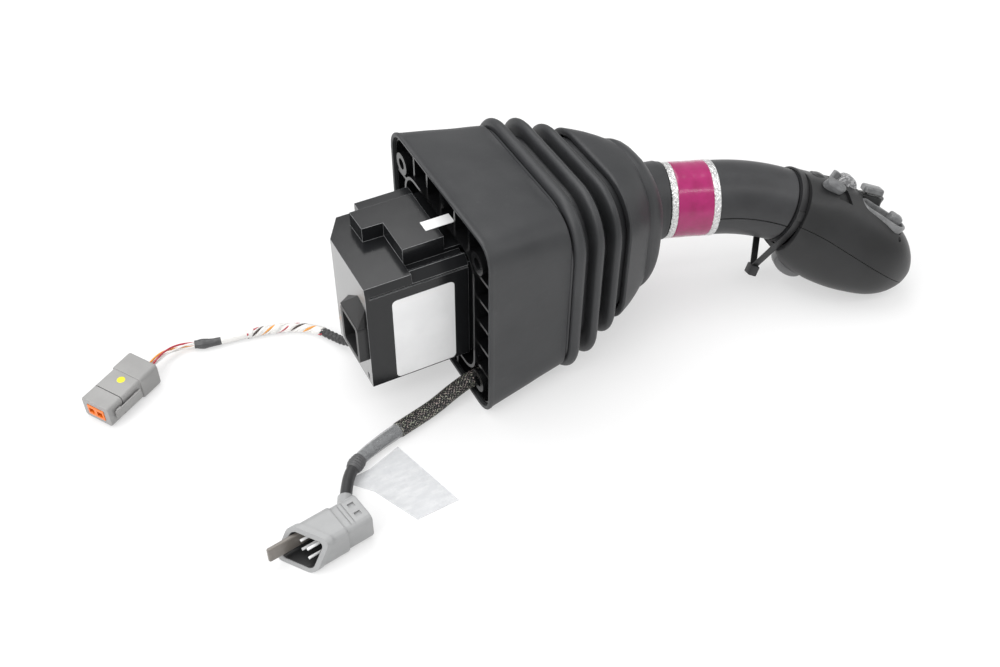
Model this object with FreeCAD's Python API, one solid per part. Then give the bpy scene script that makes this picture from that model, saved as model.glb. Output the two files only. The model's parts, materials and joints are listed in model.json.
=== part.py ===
"""Control joystick: electronics box, panel frame, gimbal, rubber boot and cranked grip.

Millimetres. The origin lies on the shaft axis in the plane of the skirt's rear rim, with X
along the shaft towards the grip, Y away from the labelled side and Z up. The object lies on
its side as it does on a bench: on the skirt's rim and on the grip's head.
"""
import FreeCAD
import Part
import math
import os

from FreeCAD import Vector

# Clearances
RUNNING = 0.05
SOFT_GAP = 0.3
BUTTON_GAP = 0.4
SEAT_GAP = 0.2

# Floor that the object lies on
FLOOR_Z = -66.0

# Rubber skirt, half sizes at its rear rim and at its front
SKIRT_REAR_Y = 65.7
SKIRT_REAR_Z = 66.0
SKIRT_REAR_CORNER = 14.0
SKIRT_FRONT_Y = 60.5
SKIRT_FRONT_Z = 60.0
SKIRT_FRONT_CORNER = 19.5
SKIRT_LENGTH = 54.0
RUBBER_WALL = 2.5
RIM_LIP_LENGTH = 3.0

# Bellows: each crest is a flat ring between two valleys
VALLEY_DEPTH_Y = 6.5
VALLEY_DEPTH_Z = 6.5
BELLOWS_WALL = 2.0
RING_1 = (58.5, 66.0, 64.0, 65.3)
RING_2 = (72.5, 80.0, 60.5, 63.0)
RING_3 = (87.5, 94.5, 54.9, 57.2)
VALLEY_1 = 69.0
VALLEY_2 = 83.5
VALLEY_3 = 98.0
RING_CORNER = 29.0

# Boot cone: rear edge, rim and the neck round the grip tube
CONE_REAR_X = 101.0
CONE_REAR_Y = 50.5
CONE_REAR_Z = 54.0
CONE_RIM_X = 124.3
CONE_RIM_Y = 37.0
CONE_RIM_Z = 51.0
CONE_RIM_DROP = -2.4
DOME_END_X = 141.0
DOME_END_Y = 29.5
DOME_END_Z = 33.0
NECK_WALL = 1.8

# Panel frame inside the skirt
FRAME_FACE_X = 0.0
WEB_X = 16.0
WEB_THICKNESS = 3.0
FRAME_INNER = 44.5
FRAME_INNER_CORNER = 12.0
FRAME_WALL = 2.0
BAND_WALL = 2.0
BAND_RECESS = 2.0
RIB_THICKNESS = 2.0
RIB_PITCH = 18.0
RIBS_EACH_SIDE = 5
BOSS_Y = 50.0
BOSS_Z = 47.0
BOSS_RADIUS = 7.0
SCREW_HOLE_RADIUS = 3.5

# Electronics box
BOX_REAR_X = -60.0
BOX_HALF_Y = 33.0
BOX_BOTTOM_Z = -39.0
BOX_TOP_Z = 37.0
BOX_WALL = 2.4
BOX_ROUND = 2.5
COVER_THICKNESS = 3.0
CORNER_CUT_X = 10.3
CORNER_CUT_Y = 16.4
PLATEAU_TOP_Z = 46.5
PLATEAU_ROUND = 1.2
PLATEAU_FRONT_X = -6.0
REAR_BLOCK_TOP_Z = 42.0
COVER_BOSS_RADIUS = 3.5
COVER_BOSS_BITE = 0.5
COVER_SCREW_FAR_Y = 6.0
COVER_BOSS_LENGTH = 11.5
GROOVE_WIDTH = 2.0
GROOVE_DEPTH = 0.8

# Connector socket in the end of the box
SOCKET_EDGE = 2.6
SOCKET_MID_Z = -6.0
SOCKET_HALF_Y = 12.6
SOCKET_MID_Y = -BOX_HALF_Y + SOCKET_EDGE + SOCKET_HALF_Y
SOCKET_HALF_Z = 14.0
SOCKET_WALL = 3.0
SOCKET_CORNER = 3.0
SOCKET_REACH = 5.5
SOCKET_DEPTH = 15.0
PIN_RADIUS = 0.7
PIN_PITCH = 4.0
PIN_COLUMNS = 4
PIN_ROWS = 2
PIN_REACH = 7.0

# Label plate and seal strip
LABEL_X = (-44.5, -6.0)
LABEL_Z = (-38.0, 23.0)
LABEL_THICKNESS = 0.4
STRIP_X = (-13.0, 5.0)
STRIP_Y = (-12.0, -4.0)
STRIP_THICKNESS = 0.3

# Circuit boards
BOARD_THICKNESS = 1.6
SENSOR_HALF = 17.0

# Gimbal
PIVOT_X = 45.0
GIMBAL_PLATE = 5.0
GIMBAL_HALF = 38.0
GIMBAL_HOLE_RADIUS = 24.0
CHEEK_INNER_Y = 30.0
CHEEK_THICKNESS = 6.0
CHEEK_HALF_Z = 12.0
BUSH_WALL = 2.0
STUB_RADIUS = 4.0
YOKE_OUTER = 26.0
YOKE_INNER = 18.0
YOKE_LENGTH = 12.0
YOKE_PAD_RADIUS = 5.5
YOKE_PAD_END = 28.0
CROSS_PIN_RADIUS = 3.2
SHAFT_RADIUS = 8.0
TAIL_RADIUS = 6.0
HUB_RADIUS = 13.0
TAIL_END_X = 28.0
MAGNET_LENGTH = 3.0
SPRING_WIRE = 0.9
SPRING_TURNS = 3
SPRING_PITCH = 2.1
SPRING_PLAY = 0.5
SPRING_STEPS = 12
SPRING_SIDES = 6
SCREW_HEAD_RADIUS = 3.5
SCREW_HEAD_HEIGHT = 3.0
SCREW_RADIUS = 2.0

# Grip tube: a straight stretch, one bend and the head
GRIP_START = Vector(150.0, 0.0, 0.0)
GRIP_LEAN = 18.0
GRIP_LEAN_TURN = 81.2
BEND_TURN = 43.7
BEND_ANGLE = 35.0
BEND_RADIUS = 137.0
GRIP_STRAIGHT = 40.0
GRIP_ROLL = -22.08
TUBE_RADIUS = 23.8
TUBE_NECK_RADIUS = 22.8
TUBE_BORE = 20.2
TUBE_TAIL = -2.0
PARTING_N = -7.5
BAND_START = 9.0
BAND_LENGTH = 31.0
BAND_THICKNESS = 0.5
TRIM_WIDTH = 4.5
TRIM_THICKNESS = 0.7
CLAMP_LENGTH = 26.0
SHAFT_END_X = 170.0

# Head of the grip. Stations: distance past the bend, height above, depth below, half width
HEAD_STATIONS = (
    (-43.7, 27.6, 27.6, 27.6),
    (-33.7, 27.9, 28.3, 27.8),
    (-23.0, 29.5, 34.0, 28.0),
    (-11.0, 30.5, 35.5, 28.5),
    (2.0, 30.5, 34.7, 28.0),
    (18.0, 29.0, 32.5, 27.2),
    (32.0, 26.5, 28.4, 25.3),
    (44.0, 22.0, 23.2, 21.3),
    (53.0, 15.5, 16.8, 15.0),
    (59.0, 8.0, 9.0, 8.0),
    (61.5, 2.5, 3.0, 2.5),
)
HEAD_SQUARENESS = 2.4
HEAD_WALL = 3.2
LOOP_POINTS = 16
NECK_BEFORE_HEAD = 37.7
NECK_PLANE = Vector(0.86, -0.24, -0.45)
TUBE_OVERLAP = 30.7

# Strap round the neck
STRAP_INNER = 25.9
STRAP_THICKNESS = 1.2
STRAP_WIDTH = 4.0
STRAP_LOCK_REACH = 45.64
STRAP_LOCK_TURN = -16.68
LOCK_SIZE = (7.0, 6.0, 8.0)

# Controls in the head, in distances along, across and out of the thumb face
BOARD_N = 15.0
SWITCH_SIZE = 6.0
SWITCH_HEIGHT = 3.0
STEM_RADIUS = 1.8
BUTTON_TRAVEL = 1.2
POST_RADIUS = 2.5
WHEEL_RADIUS = 8.4
WHEEL_WIDTH = 11.0
WHEEL_T = -9.3
WHEEL_N = 27.8
WHEEL_TEETH = 20
WHEEL_TOOTH = 0.5
WHEEL_PIN_RADIUS = 1.5
ROCKER_T = 8.5
ROCKER_S = 2.0
ROCKER_N = 34.8
ROCKER_LENGTH = 12.5
ROCKER_WIDTH = 14.0
ROCKER_HEIGHT = 6.2
ROCKER_TILT = 18.0
KNOB_T = 18.5
KNOB_S = 5.0
KNOB_TOP_N = 33.5
KNOB_RADIUS = 2.6
CAP_T = -20.9
CAP_TOP_N = 32.0
CAP_HALF = 2.2
BEZEL_T = 21.0
BEZEL_S = -12.0
BEZEL_N = 27.2
BEZEL_HALF_LENGTH = 16.5
BEZEL_HALF_WIDTH = 8.5
BEZEL_WALL = 2.4
BEZEL_HEIGHT = 7.5
BEZEL_TILT = 12.0
SLIDER_LENGTH = 13.0
END_BUTTON_RISE = 3.6
END_ROUNDING = 2.2
PADDLE_T = -20.3
PADDLE_S = -20.5
PADDLE_N = 25.0
PADDLE_HALF_LENGTH = 6.8
PADDLE_HALF_WIDTH = 3.4
PADDLE_RISE = 2.6
PADDLE_TILT = 46.0
TRIGGER_T = (-20.0, -1.0)
TRIGGER_BOTTOM_N = -40.0
TRIGGER_HALF_WIDTH = 7.0
TRIGGER_PIN_T = -20.0
TRIGGER_PIN_N = -27.0
TRIGGER_PIN_RADIUS = 1.5

# Braided harness with the receptacle, and thin harness with the plug
BRAID_DIAMETER = 9.6
SLEEVE_DIAMETER = 9.2
SLEEVE_END_DIAMETER = 7.6
LUMP_DIAMETER = 9.8
SHEATH_DIAMETER = 7.0
GROMMET_RADIUS = 6.6
BRAID_ROUTE = (
    (13.0, -40.0, -54.0),
    (1.0, -40.0, -54.0),
    (-13.0, -42.0, -57.4),
    (-27.0, -45.7, -60.6),
    (-41.0, -49.0, -61.1),
    (-55.0, -52.5, -61.1),
    (-69.0, -56.4, -61.4),
    (-81.0, -61.0, -61.2),
    (-90.0, -67.5, -60.8),
    (-96.6, -76.5, -60.0),
    (-101.0, -86.0, -58.8),
)
BRAID_END = 69.0
SLEEVE_END = 100.0
LUMP_END = 107.0
THIN_ROUTE = (
    (-47.0, 14.0, -40.5),
    (-47.0, 14.0, -48.5),
    (-50.0, 19.5, -56.5),
    (-54.5, 27.5, -61.6),
    (-58.5, 36.5, -62.8),
    (-62.8, 45.6, -62.9),
    (-69.3, 53.8, -62.8),
    (-78.5, 59.8, -62.9),
    (-91.0, 64.0, -62.8),
    (-106.0, 66.6, -62.9),
    (-121.0, 68.1, -62.8),
    (-131.0, 69.9, -62.8),
    (-139.0, 72.9, -62.9),
    (-148.0, 74.3, -62.0),
    (-156.8, 71.4, -59.4),
    (-164.9, 65.6, -57.5),
    (-173.2, 60.0, -57.5),
)
THIN_DIAMETER = 6.0
WRAP_DIAMETER = 6.2
WHITE_DIAMETER = 5.2
WIRES_DIAMETER = 4.4
SHRINK_DIAMETER = 6.2
THIN_SHEATH_END = 48.0
WRAP_END = 95.0
WHITE_END = 113.0
SHRINK_START = 121.0
SHRINK_END = 129.0
THIN_GLAND_RADIUS = 5.0

# Receptacle on the braided harness
RECEPTACLE_REAR = Vector(-97.2, -103.6, -55.5)
RECEPTACLE_TURN = 189.6
RECEPTACLE_LENGTH = 51.0
RECEPTACLE_HALF_WIDTH = 11.2
RECEPTACLE_HALF_HEIGHT = 10.3
RECEPTACLE_CORNER = 5.0
RECEPTACLE_WALL = 2.2
RECEPTACLE_CAVITY = 27.0
RECEPTACLE_WAIST = 16.0
RECEPTACLE_TONGUE = 5.0

# Plug on the thin harness
PLUG_REAR = Vector(-173.2, 60.0, -57.5)
PLUG_TURN = 214.0
PLUG_LENGTH = 42.7
PLUG_HALF_WIDTH = 11.4
PLUG_HALF_HEIGHT = 8.3
PLUG_CORNER = 3.0

# Tag that hangs from the braided harness
TAG_POINTS = ((-58.0, -60.0), (-43.1, -111.4), (-69.5, -113.2), (-83.3, -84.0), (-93.0, -73.5),
              (-89.0, -69.0), (-79.0, -68.0))
TAG_THICKNESS = 0.3

AXIS_X = Vector(1, 0, 0)
AXIS_Y = Vector(0, 1, 0)
AXIS_Z = Vector(0, 0, 1)


def unit(vector):
    """The same direction with length one."""
    return Vector(vector).normalize()


def frame_at(origin, u, v):
    """Placement whose first two axes are u and v."""
    w = u.cross(v)
    return FreeCAD.Placement(FreeCAD.Matrix(
        u.x, v.x, w.x, origin.x,
        u.y, v.y, w.y, origin.y,
        u.z, v.z, w.z, origin.z,
        0, 0, 0, 1))


def placed(shape, placement):
    """A copy of a shape at a placement."""
    copy = shape.copy()
    copy.Placement = placement.multiply(copy.Placement)
    return copy


def fused(shapes):
    """One solid from several that touch or overlap."""
    first, rest = shapes[0], shapes[1:]
    return first.fuse(rest) if rest else first


def box_between(low, high):
    """A block given by two opposite corners."""
    size = [high[i] - low[i] for i in range(3)]
    return Part.makeBox(size[0], size[1], size[2], Vector(*low))


def rounded_wire(half_u, half_v, radius, mid_u=0.0, mid_v=0.0):
    """A rounded rectangle in the local plane, starting at its upper corner."""
    corners = []
    for index, (sign_u, sign_v) in enumerate(((1, 1), (-1, 1), (-1, -1), (1, -1))):
        centre = Vector(mid_u + sign_u * (half_u - radius), mid_v + sign_v * (half_v - radius), 0)
        points = []
        for step in range(3):
            angle = math.radians(90 * index + 45 * step)
            points.append(centre + Vector(radius * math.cos(angle), radius * math.sin(angle), 0))
        corners.append(points)
    edges = []
    for index, points in enumerate(corners):
        edges.append(Part.Arc(*points).toShape())
        edges.append(Part.LineSegment(points[2], corners[(index + 1) % 4][0]).toShape())
    return Part.Wire(edges)


def rounded_face(half_u, half_v, radius, mid_u=0.0, mid_v=0.0):
    """A filled rounded rectangle."""
    return Part.Face(rounded_wire(half_u, half_v, radius, mid_u, mid_v))


def rounded_block(half_u, half_v, height, radius, edge=0.0):
    """A rounded rectangle raised along the local normal, with its top edge rounded."""
    block = rounded_face(half_u, half_v, radius).extrude(Vector(0, 0, height))
    if edge:
        top = [e for e in block.Edges if e.BoundBox.ZMin > height - 0.001]
        block = block.makeFillet(edge, top)
    return block


def along_x(x):
    """Local plane across the shaft axis at station x."""
    return frame_at(Vector(x, 0, 0), AXIS_Y, AXIS_Z)


def across_shell(stations, wall):
    """Hollow ruled skin through rounded rectangles; a station is x, y, z, corner and drop."""
    outer = []
    inner = []
    for x, half_y, half_z, corner, drop in stations:
        outer.append(placed(rounded_wire(half_y, half_z, corner, 0, drop), along_x(x)))
        corner_in = max(corner - wall, 1.0)
        inner.append(placed(rounded_wire(half_y - wall, half_z - wall, corner_in, 0, drop), along_x(x)))
    return Part.makeLoft(outer, True, True).cut(Part.makeLoft(inner, True, True))


def between(first, last, share):
    """Value part of the way from first to last."""
    return first + (last - first) * share


def skirt_half(x):
    """Outer half sizes and corner of the skirt at x."""
    share = x / SKIRT_LENGTH
    return (between(SKIRT_REAR_Y, SKIRT_FRONT_Y, share), between(SKIRT_REAR_Z, SKIRT_FRONT_Z, share),
            between(SKIRT_REAR_CORNER, SKIRT_FRONT_CORNER, share))


def boot_skirt():
    """Tapered rubber skirt that hooks over the frame, with a thicker lip at its rear rim."""
    half_y, half_z, corner = skirt_half(RIM_LIP_LENGTH)
    skin = across_shell((
        (0.0, SKIRT_REAR_Y, SKIRT_REAR_Z, SKIRT_REAR_CORNER, 0.0),
        (RIM_LIP_LENGTH, half_y, half_z, corner, 0.0),
        (SKIRT_LENGTH, SKIRT_FRONT_Y, SKIRT_FRONT_Z, SKIRT_FRONT_CORNER, 0.0),
    ), RUBBER_WALL)
    return skin


def ring_stations(ring, valley_x):
    """Two crest stations and the valley that follows them."""
    start, end, half_y, half_z = ring
    return [
        (start, half_y, half_z, RING_CORNER, 0.0),
        (end, half_y, half_z, RING_CORNER, 0.0),
        (valley_x, half_y - VALLEY_DEPTH_Y, half_z - VALLEY_DEPTH_Z, RING_CORNER - 2, 0.0),
    ]


def bellows_rear():
    """The two rear folds of the boot, from the skirt to the second valley."""
    first = [(SKIRT_LENGTH + SOFT_GAP, SKIRT_FRONT_Y, SKIRT_FRONT_Z, SKIRT_FRONT_CORNER, 0.0)]
    return across_shell(first + ring_stations(RING_1, VALLEY_1) + ring_stations(RING_2, VALLEY_2),
                        BELLOWS_WALL)


def bellows_front():
    """The front fold, from the second valley to the cone."""
    half_y = RING_2[2] - VALLEY_DEPTH_Y
    half_z = RING_2[3] - VALLEY_DEPTH_Z
    stations = [(VALLEY_2 + SOFT_GAP, half_y, half_z, RING_CORNER - 2, 0.0)]
    stations += ring_stations(RING_3, VALLEY_3)
    stations.append((CONE_REAR_X, CONE_REAR_Y, CONE_REAR_Z, RING_CORNER, 0.0))
    return across_shell(stations, BELLOWS_WALL)


# Directions of the grip
LEAN = math.radians(GRIP_LEAN)
LEAN_TURN = math.radians(GRIP_LEAN_TURN)
GRIP_DIR = Vector(math.cos(LEAN), -math.sin(LEAN) * math.sin(LEAN_TURN),
                  -math.sin(LEAN) * math.cos(LEAN_TURN))
TOWARDS = Vector(0, -math.sin(math.radians(BEND_TURN)), -math.cos(math.radians(BEND_TURN)))
BEND_DIR = unit(TOWARDS - GRIP_DIR * TOWARDS.dot(GRIP_DIR))
BEND_AXIS = GRIP_DIR.cross(BEND_DIR)
BEND_CENTRE = GRIP_START + GRIP_DIR * GRIP_STRAIGHT + BEND_DIR * BEND_RADIUS
BEND_LENGTH = BEND_RADIUS * math.radians(BEND_ANGLE)
BEND_END = GRIP_STRAIGHT + BEND_LENGTH


def grip_frame(s):
    """Placement at distance s along the grip: local axes are across, out and along."""
    angle = min(max((s - GRIP_STRAIGHT) / BEND_RADIUS, 0.0), math.radians(BEND_ANGLE))
    along = GRIP_DIR * math.cos(angle) + BEND_DIR * math.sin(angle)
    out_of_bend = GRIP_DIR * math.sin(angle) - BEND_DIR * math.cos(angle)
    sideways = out_of_bend.cross(along)
    roll = math.radians(GRIP_ROLL)
    out = out_of_bend * math.cos(roll) + sideways * math.sin(roll)
    if s <= GRIP_STRAIGHT:
        origin = GRIP_START + GRIP_DIR * s
    else:
        origin = (BEND_CENTRE + GRIP_DIR * (BEND_RADIUS * math.sin(angle))
                  - BEND_DIR * (BEND_RADIUS * math.cos(angle)))
        origin = origin + along * max(s - BEND_END, 0.0)
    return frame_at(origin, out.cross(along), out)


def grip_axes(s):
    """Origin, across, out and along directions of the grip at distance s."""
    frame = grip_frame(s)
    turn = frame.Rotation
    along = turn.multVec(AXIS_Z)
    return frame.Base, turn.multVec(AXIS_X), turn.multVec(AXIS_Y), along


def swept(face, start, end):
    """Carry a local face along the grip's line from one distance to another."""
    pieces = []
    if start < GRIP_STRAIGHT:
        stop = min(end, GRIP_STRAIGHT)
        pieces.append(placed(face, grip_frame(start)).extrude(GRIP_DIR * (stop - start)))
    if end > GRIP_STRAIGHT and start < BEND_END:
        first = max(start, GRIP_STRAIGHT)
        turn = math.degrees((min(end, BEND_END) - first) / BEND_RADIUS)
        profile = placed(face, grip_frame(first))
        pieces.append(profile.revolve(BEND_CENTRE, BEND_AXIS, turn))
    if end > BEND_END:
        first = max(start, BEND_END)
        along = grip_axes(first)[3]
        pieces.append(placed(face, grip_frame(first)).extrude(along * (end - first)))
    return fused(pieces)


def face_with_hole(outer, inner):
    """Flat face between two closed outlines."""
    return Part.Face(outer).cut(Part.Face(inner)).Faces[0]


def ring_face(outer, inner):
    """A flat ring in the local plane."""
    return face_with_hole(Part.Wire(Part.makeCircle(outer)), Part.Wire(Part.makeCircle(inner)))


def below_parting():
    """Everything below the grip's parting surface."""
    reach = 70.0
    wire = Part.makePolygon([Vector(-reach, -reach, 0), Vector(reach, -reach, 0),
                             Vector(reach, PARTING_N, 0), Vector(-reach, PARTING_N, 0),
                             Vector(-reach, -reach, 0)])
    return swept(Part.Face(wire), TUBE_TAIL - 1, BEND_END + 75)


def head_axes():
    """Origin and the along, across and out directions of the head."""
    origin, across, out, along = grip_axes(BEND_END)
    return origin, along, out.cross(along), out


HEAD_ORIGIN, HEAD_T, HEAD_S, HEAD_N = head_axes()
HEAD_FRAME = frame_at(HEAD_ORIGIN, HEAD_T, HEAD_S)


def head_point(t, s, n):
    """A point given in the head's own directions."""
    return HEAD_ORIGIN + HEAD_T * t + HEAD_S * s + HEAD_N * n


def head_loop(up, down, half, inset):
    """Closed squarish oval, flatter above than below."""
    points = []
    for index in range(LOOP_POINTS):
        angle = 2 * math.pi * index / LOOP_POINTS
        c = math.cos(angle)
        s = math.sin(angle)
        reach = (abs(c) ** HEAD_SQUARENESS + abs(s) ** HEAD_SQUARENESS) ** (-1 / HEAD_SQUARENESS)
        height = (up if s > 0 else down) - inset
        points.append(Vector((half - inset) * reach * c, height * reach * s, 0))
    curve = Part.BSplineCurve()
    curve.interpolate(Points=points, PeriodicFlag=True)
    return Part.Wire(curve.toShape())


def head_solid(inset):
    """The head's form, drawn in by a wall thickness."""
    loops = []
    for t, up, down, half in HEAD_STATIONS:
        if min(up, down, half) <= inset + 1:
            continue
        loops.append(placed(head_loop(up, down, half, inset), grip_frame(BEND_END + t)))
    return Part.makeLoft(loops, True, False)


def neck_plane_placement():
    """Local frame of the oblique plane round the neck: towards the strap's lock, across and to the head."""
    centre = grip_axes(BEND_END - NECK_BEFORE_HEAD)[0]
    normal = unit(NECK_PLANE)
    down = unit(normal * AXIS_Z.dot(normal) - AXIS_Z)
    turn = math.radians(STRAP_LOCK_TURN)
    to_lock = down * math.cos(turn) + normal.cross(down) * math.sin(turn)
    return frame_at(centre, to_lock, normal.cross(to_lock))


def oval_prism(half_length, half_width, height, base):
    """A racetrack with its long side along t, standing on local height base."""
    return placed(rounded_face(half_length, half_width, half_width - 0.01),
                  FreeCAD.Placement(Vector(0, 0, base), FreeCAD.Rotation())).extrude(Vector(0, 0, height))


def tilted_head_frame(t, s, n, tilt_about_t=0.0, tilt_about_s=0.0):
    """A local frame on the head, tipped about its along and across directions."""
    turn = FreeCAD.Rotation(AXIS_X, tilt_about_t).multiply(FreeCAD.Rotation(AXIS_Y, tilt_about_s))
    return HEAD_FRAME.multiply(FreeCAD.Placement(Vector(t, s, n), turn))


BEZEL_FRAME = tilted_head_frame(BEZEL_T, BEZEL_S, BEZEL_N, BEZEL_TILT)
PADDLE_FRAME = tilted_head_frame(PADDLE_T, PADDLE_S, PADDLE_N, PADDLE_TILT)
ROCKER_FRAME = tilted_head_frame(ROCKER_T, ROCKER_S, ROCKER_N, 0.0, -ROCKER_TILT)
SWITCH_TOP_N = BOARD_N + BOARD_THICKNESS + SWITCH_HEIGHT


def stem_down(t, s, top_n, radius=STEM_RADIUS):
    """Push rod from a control down to its switch."""
    bottom = SWITCH_TOP_N + BUTTON_TRAVEL + SOFT_GAP
    return Part.makeCylinder(radius, top_n - bottom, head_point(t, s, bottom), HEAD_N)


def wheel_outline(radius):
    """Toothed rim of the thumb wheel."""
    points = []
    for index in range(WHEEL_TEETH):
        for share, height in ((0.0, 0.0), (0.25, WHEEL_TOOTH), (0.6, WHEEL_TOOTH), (0.85, 0.0)):
            angle = 2 * math.pi * (index + share) / WHEEL_TEETH
            reach = radius - WHEEL_TOOTH + height
            points.append(Vector(reach * math.cos(angle), reach * math.sin(angle), 0))
    return Part.makePolygon(points + points[:1])


def control_solids():
    """Each control of the thumb face, by node name."""
    made = {}
    across = frame_at(head_point(WHEEL_T, -WHEEL_WIDTH / 2, WHEEL_N), HEAD_N, HEAD_T)
    wheel = placed(Part.Face(wheel_outline(WHEEL_RADIUS)).extrude(Vector(0, 0, WHEEL_WIDTH)), across)
    bore = Part.makeCylinder(WHEEL_PIN_RADIUS + RUNNING, WHEEL_WIDTH,
                             head_point(WHEEL_T, -WHEEL_WIDTH / 2, WHEEL_N), HEAD_S)
    made["thumb_wheel"] = wheel.cut(bore)
    cap_frame = tilted_head_frame(CAP_T, 0, CAP_TOP_N - 6.0)
    cap = placed(rounded_block(CAP_HALF, CAP_HALF + 0.8, 6.0, 0.8, 0.5), cap_frame)
    made["cap_button"] = fused([cap, stem_down(CAP_T, 0, CAP_TOP_N - 5.0)])
    block = rounded_block(ROCKER_LENGTH / 2, ROCKER_WIDTH / 2, ROCKER_HEIGHT, 2.2, 1.4)
    block = placed(block, FreeCAD.Placement(Vector(0, 0, -ROCKER_HEIGHT / 2), FreeCAD.Rotation()))
    block = placed(block, ROCKER_FRAME)
    made["top_rocker"] = fused([block, stem_down(ROCKER_T, ROCKER_S, ROCKER_N, 2.6)])
    knob = Part.makeCylinder(KNOB_RADIUS, 4.5, head_point(KNOB_T, KNOB_S, KNOB_TOP_N - 4.5), HEAD_N)
    knob = knob.makeFillet(0.7, [e for e in knob.Edges if e.Curve.TypeId == "Part::GeomCircle"][:1])
    made["small_button"] = fused([knob, stem_down(KNOB_T, KNOB_S, KNOB_TOP_N - 4.0)])
    outer = oval_prism(BEZEL_HALF_LENGTH, BEZEL_HALF_WIDTH, BEZEL_HEIGHT, -BEZEL_HEIGHT)
    hole = oval_prism(BEZEL_HALF_LENGTH - BEZEL_WALL, BEZEL_HALF_WIDTH - BEZEL_WALL,
                      BEZEL_HEIGHT + 2, -BEZEL_HEIGHT - 1)
    made["rocker_bezel"] = placed(outer.cut(hole), BEZEL_FRAME)
    room = BEZEL_HALF_WIDTH - BEZEL_WALL - BUTTON_GAP
    start = -BEZEL_HALF_LENGTH + BEZEL_WALL + BUTTON_GAP + END_ROUNDING
    slider = rounded_face(SLIDER_LENGTH / 2, room, 2.0, start + SLIDER_LENGTH / 2)
    slider = placed(slider.extrude(Vector(0, 0, 5.0)),
                    FreeCAD.Placement(Vector(0, 0, -7.0), FreeCAD.Rotation()))
    made["main_rocker"] = placed(slider, BEZEL_FRAME)
    first = start + SLIDER_LENGTH + BUTTON_GAP
    half = (BEZEL_HALF_LENGTH - BEZEL_WALL - BUTTON_GAP - END_ROUNDING - first) / 2
    button = rounded_block(half, room - 0.8, 6.0 + END_BUTTON_RISE, 2.0, 1.2)
    button = placed(button, FreeCAD.Placement(Vector(first + half, 0, -6.0), FreeCAD.Rotation()))
    made["end_button"] = placed(button, BEZEL_FRAME)
    pill = oval_prism(PADDLE_HALF_LENGTH, PADDLE_HALF_WIDTH, 5.0 + PADDLE_RISE, -5.0)
    top = [e for e in pill.Edges if e.BoundBox.ZMin > PADDLE_RISE - 0.001]
    made["paddle_button"] = placed(pill.makeFillet(1.2, top), PADDLE_FRAME)
    made["trigger"] = trigger_solid()
    return made


def trigger_solid():
    """Finger trigger under the head, hung on its pin at the rear."""
    low_t, high_t = TRIGGER_T
    start = Vector(TRIGGER_PIN_T - 3.0, 0, TRIGGER_PIN_N + 3.0)
    curve = Part.Arc(Vector(low_t - 2.0, 0, TRIGGER_BOTTOM_N + 6), Vector(-12.0, 0, TRIGGER_BOTTOM_N),
                     Vector(high_t, 0, TRIGGER_BOTTOM_N + 6)).toShape()
    first, last = curve.Vertexes[0].Point, curve.Vertexes[1].Point
    inner = Vector(high_t, 0, TRIGGER_PIN_N + 3.0)
    edges = [Part.LineSegment(start, first).toShape(), curve,
             Part.LineSegment(last, inner).toShape(), Part.LineSegment(inner, start).toShape()]
    face = Part.Face(Part.Wire(edges))
    body = face.extrude(Vector(0, 2 * TRIGGER_HALF_WIDTH, 0))
    body.translate(Vector(0, -TRIGGER_HALF_WIDTH, 0))
    bore = Part.makeCylinder(TRIGGER_PIN_RADIUS + RUNNING, 40, Vector(TRIGGER_PIN_T, -20, TRIGGER_PIN_N),
                             AXIS_Y)
    return placed(body.cut(bore), HEAD_FRAME)


def control_openings():
    """Cut-outs in the upper shell that let each control through."""
    gap = BUTTON_GAP
    rise = 30.0
    cuts = []
    wheel_half = WHEEL_RADIUS + gap
    cuts.append(placed(box_between((-wheel_half, -WHEEL_WIDTH / 2 - gap, -wheel_half),
                                   (wheel_half, WHEEL_WIDTH / 2 + gap, rise)),
                       tilted_head_frame(WHEEL_T, 0, WHEEL_N)))
    cap = CAP_HALF + gap
    cuts.append(placed(box_between((-cap, -cap - 0.8, 0), (cap, cap + 0.8, rise)),
                       tilted_head_frame(CAP_T, 0, 18.0)))
    cuts.append(Part.makeCylinder(2.6 + gap, rise, head_point(ROCKER_T, ROCKER_S, 18.0), HEAD_N))
    seat = box_between((-ROCKER_LENGTH / 2 - 1, -ROCKER_WIDTH / 2 - 1, -ROCKER_HEIGHT / 2 - 1),
                       (ROCKER_LENGTH / 2 + 1, ROCKER_WIDTH / 2 + 1, rise))
    cuts.append(placed(seat, ROCKER_FRAME))
    cuts.append(Part.makeCylinder(KNOB_RADIUS + gap, rise, head_point(KNOB_T, KNOB_S, 18.0), HEAD_N))
    cuts.append(placed(oval_prism(BEZEL_HALF_LENGTH, BEZEL_HALF_WIDTH, BEZEL_HEIGHT + rise,
                                  -BEZEL_HEIGHT), BEZEL_FRAME))
    cuts.append(placed(oval_prism(PADDLE_HALF_LENGTH + gap, PADDLE_HALF_WIDTH + gap, rise, -8.0),
                       PADDLE_FRAME))
    return cuts


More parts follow.
